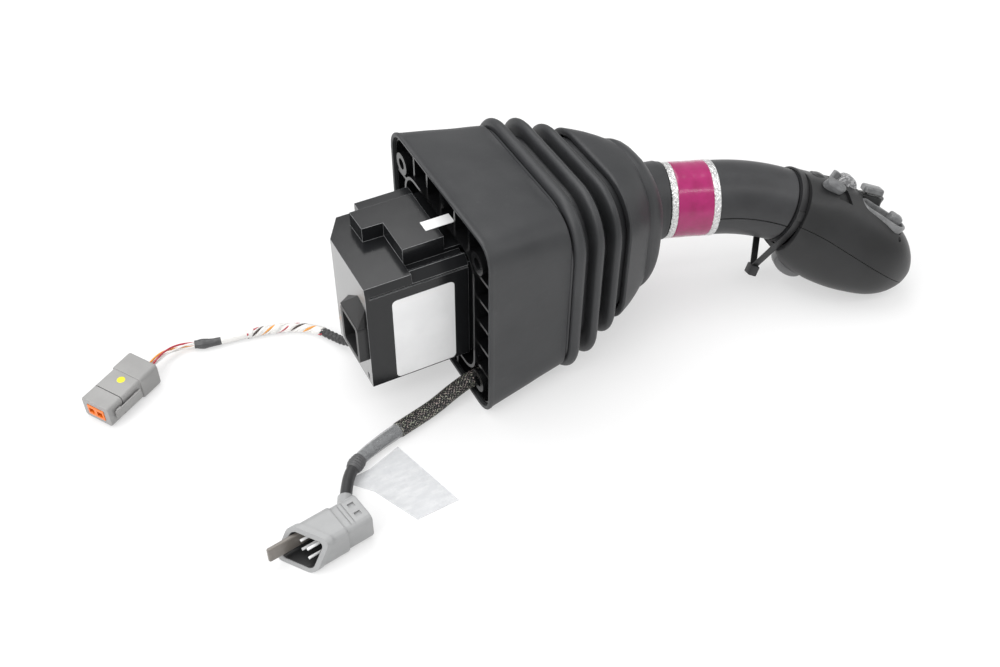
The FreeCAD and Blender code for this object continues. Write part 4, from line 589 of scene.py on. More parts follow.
def ring_profile(ring, before, after):
    """Stations of one round fold between the insets of its two valleys."""
    start, end, half_y, half_z = ring
    stations = []
    for step in range(-RING_STEPS, RING_STEPS + 1):
        turn = math.radians(90 * step / RING_STEPS)
        share = math.cos(turn) ** RING_FULLNESS if abs(step) < RING_STEPS else 0.0
        inset = (before if step < 0 else after) * (1 - share) * VALLEY_SHARE
        x = (start + end) / 2 + (end - start) / 2 * math.sin(turn)
        stations.append((x, half_y - inset, half_z - inset))
    return stations


def valley_stations(first, second):
    """Three stations in the groove between two folds."""
    x = (first[1] + second[0]) / 2
    half_y = (first[2] + second[2]) / 2 - VALLEY_DEPTH
    half_z = (first[3] + second[3]) / 2 - VALLEY_DEPTH
    return [(x + along, half_y + lift, half_z + lift) for along, lift in VALLEY_FLOOR]


def folds(name, stations, node):
    """Closed rubber skin through stations, in place of a node."""
    outer = [outline(x, half_y, half_z, RING_CORNER) for x, half_y, half_z in stations]
    inner = [outline(x, half_y - FOLD_WALL, half_z - FOLD_WALL, RING_CORNER)
             for x, half_y, half_z in reversed(stations)]
    made = smooth(tidy_normals(loft(name, outer + inner, True)), 60)
    return dress(made, RUBBER, None, [node])


def make_folds():
    """The rear folds and the front fold, each in place of one node."""
    first, second, third = RINGS
    stations = SKIRT_LIP + ring_profile(first, FIRST_VALLEY_DEPTH, VALLEY_DEPTH)
    stations += valley_stations(first, second)
    stations += ring_profile(second, VALLEY_DEPTH, VALLEY_DEPTH)
    groove = valley_stations(second, third)
    rear = folds("boot_rear_folds", stations + groove[:2], "bellows_rear")
    stations = groove[1:] + ring_profile(third, VALLEY_DEPTH, VALLEY_DEPTH)
    front = folds("boot_front_fold", stations + FOLD_TAIL, "bellows_front")
    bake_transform(rear)
    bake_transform(front)


def cone_stations():
    """Stations of the boot's front, with corner and drop: cone, raised rim and dome down to the neck."""
    rear_x, rear_y, rear_z = CONE_REAR
    rim_x, rim_y, rim_z = CONE_RIM
    stations = [(rear_x + along, rear_y - inset, rear_z - inset, RING_CORNER, 0.0)
                for along, inset in CONE_EDGE]
    for step in range(11):
        share = step / 10
        swell = math.sin(math.pi * share) * CONE_SWELL
        stations.append((between(rear_x + 1.4, rim_x - 1.2, share),
                         between(rear_y, rim_y + 0.4, share) + swell,
                         between(rear_z, rim_z + 0.4, share) + swell,
                         between(RING_CORNER + 1.0, RIM_CORNER, share), CONE_DROP * share))
    for back in (0.7, 0.3):
        stations.append((rim_x - back, rim_y - RIM_STEP, rim_z - RIM_STEP, RIM_CORNER, CONE_DROP))
    for step in range(1, DOME_STEPS + 1):
        turn = math.radians(90 * step / DOME_STEPS)
        share = (1 - math.cos(turn)) ** DOME_FULLNESS
        stations.append((rim_x + DOME_LENGTH * math.sin(turn),
                         between(rim_y - 0.3, NECK_RADIUS + 1.5, share),
                         between(rim_z - 0.3, NECK_RADIUS + 1.5, share),
                         between(RIM_CORNER - 1.0, NECK_RADIUS, share), CONE_DROP * (1 - share)))
    return stations


def make_cone():
    """Front of the boot: cone, rim, dome and the neck that grips the tube."""
    outer = [outline(*station) for station in cone_stations()]
    across = Vector((0.0, 1.0, 0.0))
    across = (across - GRIP_DIR * across.dot(GRIP_DIR)).normalized()
    for s, outset in NECK_STATIONS:
        turn = local_frame(GRIP_START + GRIP_DIR * s, across, GRIP_DIR.cross(across))
        outer.append(circle(turn, NECK_RADIUS + outset, 0.0, ANGLES))
    inner = []
    for loop in reversed(outer):
        middle = sum(loop, Vector()) / len(loop)
        inner.append([p - (p - middle).normalized() * CONE_WALL for p in loop])
    made = loft("boot_cone_rubber", outer + inner, True)
    dress(smooth(tidy_normals(made), 42), RUBBER, "stick", ["boot_cone"])


# Grip line: a straight stretch, one bend and the head
GRIP_START = Vector((150.0, 0.0, 0.0))
GRIP_LEAN = math.radians(18.0)
GRIP_LEAN_TURN = math.radians(81.2)
BEND_TURN = math.radians(43.7)
BEND_ANGLE = math.radians(35.0)
BEND_RADIUS = 137.0
GRIP_STRAIGHT = 40.0
GRIP_ROLL = math.radians(-22.08)
GRIP_DIR = Vector((math.cos(GRIP_LEAN), -math.sin(GRIP_LEAN) * math.sin(GRIP_LEAN_TURN),
                   -math.sin(GRIP_LEAN) * math.cos(GRIP_LEAN_TURN)))
TOWARDS = Vector((0.0, -math.sin(BEND_TURN), -math.cos(BEND_TURN)))
BEND_DIR = (TOWARDS - GRIP_DIR * TOWARDS.dot(GRIP_DIR)).normalized()
BEND_CENTRE = GRIP_START + GRIP_DIR * GRIP_STRAIGHT + BEND_DIR * BEND_RADIUS
BEND_END = GRIP_STRAIGHT + BEND_RADIUS * BEND_ANGLE
TUBE_RADIUS = 23.8
TUBE_BORE = 20.2
TUBE_END = 93.0
TUBE_STEPS = 56
PARTING_N = -7.5
PARTING_GAP = 0.35
EDGE_INSET = 0.12
EDGE_EASE = 0.45
BAND_START = 5.8
BAND_LENGTH = 32.1
BAND_RISE = 0.45
BAND_WALL = 0.4
BAND_SIDES = 96
TRIM_WIDTH = 4.5
TRIM_WALL = 0.2
TRIM_CRINKLE = 0.22


def grip_axes(s):
    """Origin and the across, out and along directions of the grip at distance s."""
    angle = min(max((s - GRIP_STRAIGHT) / BEND_RADIUS, 0.0), BEND_ANGLE)
    along = GRIP_DIR * math.cos(angle) + BEND_DIR * math.sin(angle)
    out_of_bend = GRIP_DIR * math.sin(angle) - BEND_DIR * math.cos(angle)
    out = out_of_bend * math.cos(GRIP_ROLL) + out_of_bend.cross(along) * math.sin(GRIP_ROLL)
    if s <= GRIP_STRAIGHT:
        origin = GRIP_START + GRIP_DIR * s
    else:
        origin = (BEND_CENTRE + GRIP_DIR * (BEND_RADIUS * math.sin(angle))
                  - BEND_DIR * (BEND_RADIUS * math.cos(angle)) + along * max(s - BEND_END, 0.0))
    return origin, out.cross(along), out, along


def local_frame(origin, u, v):
    """Matrix, in millimetres, whose first two axes are u and v."""
    turn = Matrix((u, v, u.cross(v))).transposed().to_4x4()
    return Matrix.Translation(origin) @ turn


def grip_matrix(s):
    """Local frame across the grip at distance s."""
    return local_frame(*grip_axes(s)[:3])


HEAD_AXES = grip_axes(BEND_END)
HEAD_FRAME = local_frame(HEAD_AXES[0], HEAD_AXES[3], HEAD_AXES[1])


def head_frame(t, s, n, about_t=0.0, about_s=0.0):
    """A frame on the head, tipped about its along and across directions."""
    turn = Matrix.Rotation(math.radians(about_t), 4, "X") @ Matrix.Rotation(math.radians(about_s), 4, "Y")
    return HEAD_FRAME @ Matrix.Translation((t, s, n)) @ turn


def part_way(first, last, share):
    """Point part of the way from first to last."""
    return tuple(between(a, b, share) for a, b in zip(first, last))


def half_tube(radius, upper):
    """Section of the upper or lower half of the tube, eased where the halves meet."""
    sign = 1.0 if upper else -1.0
    low = sign * PARTING_N + PARTING_GAP / 2
    arcs = []
    for reach in (radius, TUBE_BORE):
        start = math.asin(low / reach)
        angles = [between(start, math.pi - start, step / TUBE_STEPS) for step in range(TUBE_STEPS + 1)]
        arcs.append([(reach * math.cos(a), reach * math.sin(a)) for a in angles])
    outer, inner = arcs
    eased = []
    for end, beside, within in ((outer[0], outer[1], inner[0]), (outer[-1], outer[-2], inner[-1])):
        eased.append(part_way(end, within, EDGE_INSET))
        eased.append(part_way(end, beside, EDGE_EASE / math.dist(end, beside)))
    section = eased[:2] + outer[1:-1] + [eased[3], eased[2]] + inner[::-1]
    return [(x, y * sign) for x, y in section]


def sweep_sections(name, places, section_of):
    """Skin through one closed section at each distance along the grip."""
    loops = []
    for s in places:
        turn = grip_matrix(s)
        loops.append([turn @ Vector((x, y, 0.0)) for x, y in section_of(s)])
    return tidy_normals(loft(name, loops))


def make_tube():
    """The two halves of the round grip tube, thinner inside the boot's neck."""
    places = [BAND_START - 10.0, BAND_START - 0.2]
    places += [BAND_START + 0.1 + 4.0 * i for i in range(21)]
    places.append(TUBE_END)
    for upper, side in ((True, "upper"), (False, "lower")):
        def section(s):
            return half_tube(TUBE_RADIUS if s > BAND_START else TUBE_RADIUS - 1.0, upper)
        made = sweep_sections("grip_tube_" + side, places, section)
        combined(made, [neck_gap()], "DIFFERENCE")
        dress(smooth(made), GRIP, "stick", ["grip_" + side + "_tube"])


def neck_gap():
    """Ring that cuts the gap between the tube and the strap."""
    turn = neck_matrix()
    section = ((32.0, -3.9), (32.0, -2.2), (21.4, -2.2), (21.4, -3.9))
    loops = [circle(turn, reach, height, ANGLES) for reach, height in section]
    return tidy_normals(loft("gap", loops, True))


def ring_sleeve(name, stations, wall, crinkle=0.0, seed=1):
    """Thin sleeve round the grip through stations of distance and radius, crinkled if asked."""
    angles = even_angles(BAND_SIDES)
    shift = Vector((seed * 7.3, seed * 3.1, 0.0))
    outer = []
    inner = []
    for s, radius in stations:
        turn = grip_matrix(s)
        loop = circle(turn, radius, 0.0, angles)
        if crinkle:
            for point in loop:
                rough = noise.noise(point * 0.55 + shift) + 0.6 * noise.noise(point * 1.4 + shift)
                point += (point - turn.translation).normalized() * (rough * crinkle)
        outer.append(loop)
        inner.append(circle(turn, radius - wall, 0.0, angles))
    return tidy_normals(loft(name, outer + inner[::-1], True))


def make_band():
    """Glossy coloured sleeve between two crinkled foil strips."""
    start = BAND_START + TRIM_WIDTH
    end = BAND_START + BAND_LENGTH - TRIM_WIDTH
    radius = TUBE_RADIUS + BAND_RISE
    stations = [(start, radius - 0.15)]
    for step in range(23):
        share = step / 22
        wave = 0.06 * math.sin(9 * share) + 0.04 * math.sin(23 * share + 1)
        stations.append((between(start + 0.3, end - 0.3, share), radius + wave))
    stations.append((end, radius - 0.15))
    band = ring_sleeve("coloured_band", stations, BAND_WALL)
    dress(smooth(band), FILM, "stick", ["colour_band"])
    strips = []
    for seed, first in ((1, BAND_START), (2, end)):
        stations = [(first + TRIM_WIDTH * i / 12, TUBE_RADIUS + (0.25 if i in (0, 12) else 0.55))
                    for i in range(13)]
        strips.append(ring_sleeve("foil_strip", stations, TRIM_WALL, TRIM_CRINKLE, seed))
    foil = joined("foil_strips", strips)
    dress(smooth(foil, 25), FOIL, "stick", ["band_trims"])


# Head of the grip. Stations: distance past the bend, height above, depth below, half width
HEAD_STATIONS = (
    (-43.7, 25.0, 25.4, 25.2),
    (-33.7, 25.0, 27.2, 26.2),
    (-23.0, 26.3, 34.0, 27.8),
    (-11.0, 29.2, 36.8, 28.5),
    (2.0, 29.9, 36.5, 28.2),
    (18.0, 28.7, 33.9, 27.5),
    (32.0, 26.3, 29.5, 25.6),
    (44.0, 22.0, 24.2, 21.6),
    (53.0, 15.5, 17.3, 15.2),
    (59.0, 8.0, 9.0, 8.0),
    (61.5, 2.5, 3.0, 2.5),
)
HEAD_SPAN = (-43.7, 61.2)
HEAD_TIP = 61.3
HEAD_STEPS = 56
HEAD_SIDES = 112
HOLLOW_SPAN = (-50.0, 55.5)
HEAD_SQUARENESS = 2.4
HEAD_WALL = 3.2
HEAD_PARTING_N = -4.3
NECK_AT = 87.8
NECK_NORMAL = Vector((0.846, -0.34, -0.40)).normalized()
STRAP_INNER = 24.3
STRAP_THICKNESS = 1.2
STRAP_WIDTH = 4.6
STRAP_LOCK = Vector((205.2, -38.2, -46.4))
STRAP_STEPS = 144
LOCK_SIZE = (3.5, 3.0, 0.8, -3.6, 3.6)
KEEPER_SIZE = (1.1, 2.5, 0.4, -3.0, 3.0)
KEEPER_PLACE = Vector((-30.2, -25.0, -1.6))


def head_size(t):
    """Height above, depth below and half width of the head at distance t, smoothly between stations."""
    rows = HEAD_STATIONS
    index = 0
    while index < len(rows) - 2 and t > rows[index + 1][0]:
        index += 1
    first, last = rows[index], rows[index + 1]
    before = rows[max(index - 1, 0)]
    after = rows[min(index + 2, len(rows) - 1)]
    span = last[0] - first[0]
    share = (t - first[0]) / span
    a = 2 * share ** 3 - 3 * share ** 2 + 1
    b = share ** 3 - 2 * share ** 2 + share
    c = -2 * share ** 3 + 3 * share ** 2
    d = share ** 3 - share ** 2
    result = []
    for i in (1, 2, 3):
        slope_in = (last[i] - before[i]) / (last[0] - before[0])
        slope_out = (after[i] - first[i]) / (after[0] - first[0])
        result.append(a * first[i] + b * span * slope_in + c * last[i] + d * span * slope_out)
    return result


def head_reach(size, angle):
    """Radius of the head at an angle in a section of a given size."""
    up, down, half = size
    c = math.cos(angle)
    s = math.sin(angle)
    height = up if s > 0 else down
    total = abs(c / half) ** HEAD_SQUARENESS + abs(s / height) ** HEAD_SQUARENESS
    return total ** (-1 / HEAD_SQUARENESS)


def neck_matrix():
    """Local frame of the oblique plane round the neck, its normal towards the head."""
    centre = grip_axes(NECK_AT)[0]
    to_lock = STRAP_LOCK - centre
    to_lock = (to_lock - NECK_NORMAL * to_lock.dot(NECK_NORMAL)).normalized()
    return local_frame(centre, to_lock, NECK_NORMAL.cross(to_lock))


def rounded_outline(half_u, half_v, radius, steps=6, mid_u=0.0, mid_v=0.0):
    """Rounded rectangle in a local plane as a list of points."""
    radius = max(min(radius, half_u - 0.01, half_v - 0.01), 0.02)
    points = []
    for turn, (sign_u, sign_v) in enumerate(((1, 1), (-1, 1), (-1, -1), (1, -1))):
        for step in range(steps + 1):
            angle = math.radians(90 * turn + 90 * step / steps)
            points.append((mid_u + sign_u * (half_u - radius) + radius * math.cos(angle),
                           mid_v + sign_v * (half_v - radius) + radius * math.sin(angle)))
    return points


def cushion(name, half_u, half_v, radius, levels, matrix, mid_u=0.0, mid_v=0.0, steps=6):
    """Closed form through rounded rectangles; a level is its inset and its height."""
    loops = []
    for inset, height in levels:
        loop = rounded_outline(half_u - inset, half_v - inset, radius - inset * 0.8, steps, mid_u, mid_v)
        loops.append([matrix @ Vector((u, v, height)) for u, v in loop])
    return tidy_normals(loft(name, loops))


def slab(name, half_u, half_v, radius, low, high, matrix, mid_u=0.0, mid_v=0.0):
    """Plain upright form with rounded corners."""
    return cushion(name, half_u, half_v, radius, [(0.0, low), (0.0, high)], matrix, mid_u, mid_v)


def eased_levels(bottom, top, edge, crown=0.0, inner=0.0):
    """Levels of an upright wall with a rounded top edge and a crown."""
    levels = [(0.0, bottom), (0.0, top - edge)]
    for step in range(1, 6):
        turn = math.radians(90 * step / 5)
        levels.append((edge * (1 - math.cos(turn)), top - edge + edge * math.sin(turn)))
    if crown:
        for step in range(1, 5):
            share = step / 4
            levels.append((between(edge, inner, share), top + crown * math.sin(math.pi / 2 * share)))
    return levels


def drum(name, radius, levels, matrix, sides=48):
    """Turned form through levels of inset and height."""
    angles = even_angles(sides)
    loops = [circle(matrix, radius - inset, height, angles) for inset, height in levels]
    return tidy_normals(loft(name, loops))


# Controls, in distances along, across and out of the thumb face
WHEEL_T = -9.3
WHEEL_N = 27.8
WHEEL_RADIUS = 7.0
WHEEL_WIDTH = 11.0
WHEEL_RIBS = 56
RIB_WIDTH = 0.5
CAP_FRAME = head_frame(-17.8, 0.0, 0.0)
KNOB_T = 17.2
KNOB_S = 5.0
ROCKER_FRAME = head_frame(8.5, 2.0, 35.0, 0.0, -18.0)
BEZEL_FRAME = head_frame(19.4, -11.4, 27.4, 12.0)
PADDLE_FRAME = head_frame(-19.8, -19.9, 26.6, 46.0)
DOME_FRAME = head_frame(-25.4, 1.5, 23.7, 0.0, -7.0)
HOLE_FRAME = head_frame(36.4, -17.4, 0.0)
POCKET_FRAME = head_frame(-11.3, 0.0, 0.0)
BEZEL_HALF_LENGTH = 17.4
BEZEL_HALF_WIDTH = 7.6
BEZEL_WALL = 2.4
SLIDER_LENGTH = 15.4
END_ROUNDING = 2.2
RECESS_CORNERS = ((-16.0, 26.6), (-9.6, 27.0), (-3.9, 22.0), (-13.2, 20.8))
RECESS_DEPTH = 2.3
BUTTON_GAP = 0.4
SLIDER_START = -BEZEL_HALF_LENGTH + BEZEL_WALL + BUTTON_GAP + END_ROUNDING
END_START = SLIDER_START + SLIDER_LENGTH + BUTTON_GAP
END_HALF = (BEZEL_HALF_LENGTH - BEZEL_WALL - BUTTON_GAP - END_ROUNDING - END_START) / 2
SLIDER_HALF = BEZEL_HALF_WIDTH - BEZEL_WALL - BUTTON_GAP
# Trigger: half width, centre and radii of its curved face, its top corners and its middle
TRIGGER_HALF = 7.0
TRIGGER_ARC = (-8.9, -34.2, 10.6, 6.6)
TRIGGER_TOP = [(1.0, -31.0), (0.6, -27.0), (-18.2, -27.0), (-19.0, -29.4)]
TRIGGER_MID = (-12.0, -31.0)


def head_pockets():
    """Cutters for the controls of the thumb face."""
    return [
        slab("cut", WHEEL_RADIUS + 0.6, WHEEL_WIDTH / 2 + 0.5, 1.2, 18.0, 60.0,
             head_frame(WHEEL_T, 0.0, 0.0)),
        slab("cut", 3.1, 3.9, 1.0, 16.0, 60.0, CAP_FRAME),
        slab("cut", 7.4, 8.2, 3.0, -4.3, 30.0, ROCKER_FRAME),
        slab("cut", 3.1, 3.1, 3.0, 18.0, 60.0, head_frame(KNOB_T, KNOB_S, 0.0)),
        slab("cut", BEZEL_HALF_LENGTH + 0.25, BEZEL_HALF_WIDTH + 0.25, 8.7, -9.0, 30.0, BEZEL_FRAME),
        slab("cut", 7.2, 3.3, 3.28, -8.0, 30.0, PADDLE_FRAME),
        arrow_recess(),
        slab("cut", 1.3, 1.3, 1.25, 8.0, 40.0, HOLE_FRAME),
    ]


def head_body(name, wall, first, last):
    """Closed form of the head, taken in by a wall, from one distance to another."""
    angles = even_angles(HEAD_SIDES)
    loops = []
    for step in range(HEAD_STEPS):
        t = last - (last - first) * (1 - step / (HEAD_STEPS - 1)) ** 1.25
        size = head_size(min(t, HEAD_TIP))
        turn = grip_matrix(BEND_END + t)
        loop = []
        for angle in angles:
            distance = head_reach(size, angle) - wall
            loop.append(turn @ Vector((distance * math.cos(angle), distance * math.sin(angle), 0.0)))
        loops.append(loop)
    return tidy_normals(loft(name, loops))


def parting_side(upper):
    """Form that keeps what lies above, or below, the parting line."""
    sign = 1.0 if upper else -1.0
    low = HEAD_PARTING_N + sign * PARTING_GAP / 2
    high = HEAD_PARTING_N + sign * 70.0
    corners = ((-60.0, low), (60.0, low), (60.0, high), (-60.0, high))
    return sweep_sections("side", [BEND_END + t for t in range(-54, 71, 4)], lambda s: corners)


def arrow_recess():
    """Shallow arrow-shaped recess beside the paddle."""
    power = HEAD_SQUARENESS - 1
    low = []
    high = []
    for t, n in RECESS_CORNERS:
        up, _, half = head_size(t)
        share = max(1 - (n / up) ** HEAD_SQUARENESS, 0.0) ** (1 / HEAD_SQUARENESS)
        normal = Vector((0.0, -share ** power / half, (n / up) ** power / up)).normalized()
        place = Vector((t, -half * share, n))
        low.append(HEAD_FRAME @ (place - normal * RECESS_DEPTH))
        high.append(HEAD_FRAME @ (place + normal * 6.0))
    return tidy_normals(loft("recess", [low, high]))


def make_cover_dome():
    """Low dark dome behind the wheel and the raised seat under the top rocker."""
    dome = cushion("dome", 6.4, 8.4, 5.6, eased_levels(-6.0, 0.6, 1.4, 1.3, 5.2), DOME_FRAME, steps=8)
    levels = [(0.0, -9.0), (0.0, -3.9), (0.5, -3.5), (1.4, -3.4)]
    seat = cushion("seat", 6.9, 7.4, 3.0, levels, ROCKER_FRAME, steps=8)
    covers = joined("face_covers", [dome, seat])
    dress(smooth(covers), HEAD, "stick", ())


def make_head():
    """The two halves of the head, cut off obliquely at the neck, with pockets for the controls."""
    for upper, side in ((True, "upper"), (False, "lower")):
        made = head_body("head_" + side, 0.0, *HEAD_SPAN)
        behind = slab("behind", 80.0, 80.0, 1.0, -90.0, STRAP_WIDTH / 2 + 0.15, neck_matrix())
        cutters = [head_body("inside", HEAD_WALL, *HOLLOW_SPAN), behind]
        if upper:
            cutters += head_pockets()
        else:
            cutters.append(slab("pocket", 14.4, 10.6, 3.0, -60.0, -20.0, POCKET_FRAME))
        combined(made, cutters, "DIFFERENCE")
        combined(made, [parting_side(upper)], "INTERSECT")
        bevelled(made, 0.4, 40)
        dress(smooth(made, 32), HEAD, "stick", ["head_" + side + "_shell"])


def knurl_tree():
    """Node tree that sets ribs round a wheel."""
    tree = bpy.data.node_groups.new("ribs_round_a_wheel", "GeometryNodeTree")
    for name, kind in (("Geometry", "Geometry"), ("Count", "Int"), ("Radius", "Float"),
                       ("Width", "Float"), ("Rib", "Float"), ("Material", "Material")):
        tree.interface.new_socket(name, in_out="INPUT", socket_type="NodeSocket" + kind)
    tree.interface.new_socket("Geometry", in_out="OUTPUT", socket_type="NodeSocketGeometry")

    def node(kind, *wires):
        """New node; a wire is an output and the input that it feeds."""
        made = tree.nodes.new(kind)
        for output, name in wires:
            tree.links.new(output, made.inputs[name])
        return made.outputs

    given = node("NodeGroupInput")
    size = node("ShaderNodeCombineXYZ", (given["Rib"], 0), (given["Rib"], 1), (given["Width"], 2))
    rib = node("GeometryNodeMeshCube", (size[0], "Size"))
    ring = node("GeometryNodeMeshCircle", (given["Count"], "Vertices"), (given["Radius"], "Radius"))
    position = node("GeometryNodeInputPosition")
    align = tree.nodes.new("FunctionNodeAlignRotationToVector")
    align.axis = "X"
    align.pivot_axis = "Z"
    tree.links.new(position[0], align.inputs["Vector"])
    spread = node("GeometryNodeInstanceOnPoints", (ring["Mesh"], "Points"), (rib["Mesh"], "Instance"),
                  (align.outputs[0], "Rotation"))
    join = node("GeometryNodeJoinGeometry", (spread[0], 0), (given["Geometry"], 0))
    real = node("GeometryNodeRealizeInstances", (join[0], 0))
    finish = node("GeometryNodeSetMaterial", (real[0], "Geometry"), (given["Material"], "Material"))
    node("NodeGroupOutput", (finish[0], 0))
    return tree


def with_tree(made, tree, values):
    """Run a node tree on an object with named inputs and keep the result as plain mesh."""
    modifier = made.modifiers.new("tree", "NODES")
    modifier.node_group = tree
    names = {item.name: item.identifier for item in tree.interface.items_tree if item.in_out == "INPUT"}
    for name, value in values.items():
        modifier[names[name]] = value
    return settle(made)


def make_wheel():
    """Knurled thumb wheel, built flat and then turned into its place."""
    half = WHEEL_WIDTH / 2
    levels = [(2.6, -half), (0.9, -half), (0.35, -half + 0.6),
              (0.35, half - 0.6), (0.9, half), (2.6, half)]
    wheel = drum("wheel_knurled", WHEEL_RADIUS, levels, Matrix.Identity(4))
    with_tree(wheel, knurl_tree(), {"Count": WHEEL_RIBS, "Radius": (WHEEL_RADIUS - 0.3) * MM,
                                    "Width": (WHEEL_WIDTH - 1.0) * MM, "Rib": RIB_WIDTH * MM,
                                    "Material": WHEEL_GREY_GLINTS})
    turn = head_frame(WHEEL_T, 0.0, WHEEL_N) @ Matrix.Rotation(math.radians(90), 4, "X")
    turn.translation *= MM
    wheel.data.transform(turn)
    dress(smooth(wheel, 30), WHEEL_GREY_GLINTS, "thumb_wheel", ["thumb_wheel"])


def fit_control(made, node):
    """Finish of a grey control, which rides the joint named like its node."""
    dress(made, CONTROL, node, [node])


def make_controls():
    """Every control of the thumb face and the trigger."""
    make_wheel()
    cap = cushion("cap_switch", 2.2, 3.0, 0.9, eased_levels(19.2, 32.6, 0.8, 0.2, 1.8), CAP_FRAME)
    fit_control(crisp(cap), "cap_button")
    levels = [(0.6, -2.1), (0.0, -1.7)] + eased_levels(-1.4, 2.0, 1.5, 0.3, 5.0)
    rocker = cushion("rocker_top", 6.6, 6.4, 2.4, levels, ROCKER_FRAME)
    stem = slab("stem", 3.0, 4.6, 2.0, -13.0, -3.0, ROCKER_FRAME)
    fit_control(crisp(joined("rocker_top", [rocker, stem])), "top_rocker")
    levels = [(0.0, 20.0), (0.0, 32.2), (0.15, 32.8), (0.6, 33.3), (1.4, 33.6), (2.3, 33.7)]
    knob = drum("knob_small", 2.6, levels, head_frame(KNOB_T, KNOB_S, 0.9), 32)
    fit_control(smooth(knob), "small_button")
    make_bezel()
    levels = [(0.0, -7.0), (0.0, -4.4), (0.3, -3.7), (0.9, -3.3), (2.2, -3.2)]
    slider = cushion("slider_main", SLIDER_LENGTH / 2, SLIDER_HALF, 2.0, levels, BEZEL_FRAME,
                     SLIDER_START + SLIDER_LENGTH / 2)
    grips = [cushion("rib", 0.5, SLIDER_HALF - 1.4, 0.4, eased_levels(-3.6, -2.5, 0.35), BEZEL_FRAME,
                     SLIDER_START + 3.4 + 2.1 * i) for i in range(4)]
    slider = joined("slider_main", [slider] + grips)
    # The slider takes the frame's black, darkened as painted shade
    dress(crisp(slider), FRAME_SHADE_BLACK, "main_rocker", ["main_rocker"])
    end = cushion("button_end", END_HALF, SLIDER_HALF - 0.8, 2.2, eased_levels(-6.0, 3.6, 1.3, 0.35, 3.6),
                  BEZEL_FRAME, END_START + END_HALF)
    fit_control(crisp(end), "end_button")
    paddle = cushion("paddle_side", 6.8, 2.9, 2.85, eased_levels(-5.0, 1.9, 1.5, 0.35, 2.5), PADDLE_FRAME,
                     steps=10)
    fit_control(smooth(paddle), "paddle_button")
    make_trigger()


def make_bezel():
    """Raised racetrack rim round the sliding switch."""
    levels = [(0.5, -7.5), (0.2, -3.0), (0.0, -0.9), (0.25, -0.25), (0.8, 0.0), (BEZEL_WALL - 0.8, 0.0),
              (BEZEL_WALL - 0.25, -0.25), (BEZEL_WALL, -0.8), (BEZEL_WALL, -7.5)]
    loops = []
    for inset, height in levels:
        half = BEZEL_HALF_WIDTH - inset
        loop = rounded_outline(BEZEL_HALF_LENGTH - inset, half, half, 12)
        loops.append([BEZEL_FRAME @ Vector((u, v, height)) for u, v in loop])
    made = tidy_normals(loft("bezel_rim", loops, True))
    dress(smooth(made), RIM_GREY, "stick", ["rocker_bezel"])


def make_trigger():
    """Curved finger trigger under the head, rounded towards its two sides."""
    arc_t, arc_n, radius_t, radius_n = TRIGGER_ARC
    profile = []
    for step in range(13):
        turn = math.radians(between(200, 340, step / 12))
        profile.append((arc_t + radius_t * math.cos(turn), arc_n + radius_n * math.sin(turn)))
    profile += TRIGGER_TOP
    mid_t, mid_n = TRIGGER_MID
    rounding = ((TRIGGER_HALF, 1.6), (TRIGGER_HALF - 0.25, 0.7), (TRIGGER_HALF - 1.0, 0.15),
                (TRIGGER_HALF - 2.2, 0.0))
    loops = []
    for s, inset in [(-s, inset) for s, inset in rounding] + list(reversed(rounding)):
        loop = []
        for t, n in profile:
            share = 1 - inset / math.hypot(t - mid_t, n - mid_n)
            place = Vector((mid_t + (t - mid_t) * share, s, mid_n + (n - mid_n) * share))
            loop.append(HEAD_FRAME @ place)
        loops.append(loop)
    made = tidy_normals(loft("trigger_finger", loops))
    dress(smooth(made), TRIGGER_GREY, "trigger", ["trigger"])


def make_strap():
    """Loose strap round the neck, its head block and the small keeper on it."""
    neck = neck_matrix()
    lock_reach = (neck.inverted() @ STRAP_LOCK).xy.length
    edge = math.acos(STRAP_INNER / lock_reach)
    half = STRAP_WIDTH / 2
    thick = STRAP_THICKNESS
    section = ((0.0, -half), (0.0, half), (thick - 0.12, half), (thick, half - 0.15),
               (thick, -half + 0.15), (thick - 0.12, -half))
    loops = []
    for angle in even_angles(STRAP_STEPS):
        turn = abs(math.remainder(angle, 2 * math.pi))
        reach = STRAP_INNER / math.cos(edge - turn) if turn < edge else STRAP_INNER
        outward = Vector((math.cos(angle), math.sin(angle), 0.0))
        loops.append([neck @ (outward * (reach + outset) + Vector((0.0, 0.0, height)))
                      for outset, height in section])
    band = tidy_normals(loft("strap", loops, True))
    upright = Matrix.Rotation(math.radians(90), 4, "X")
    lock_frame = neck @ Matrix.Translation((lock_reach + 2.0, 0.0, 0.0)) @ upright
    lock = bevelled(slab("strap_lock", *LOCK_SIZE, lock_frame), 0.5)
    keeper_way = neck.to_3x3().inverted() @ (HEAD_FRAME @ KEEPER_PLACE - neck.translation)
    keeper_turn = Matrix.Rotation(math.atan2(keeper_way.y, keeper_way.x), 4, "Z")
    keeper_frame = neck @ keeper_turn @ Matrix.Translation((STRAP_INNER + 0.8, 0.0, 0.0)) @ upright
    keeper = bevelled(slab("keeper", *KEEPER_SIZE, keeper_frame), 0.3)
    strap = joined("cable_strap", [band, lock, keeper])
    dress(smooth(strap, 30), STRAP, "stick", ["zip_tie"])


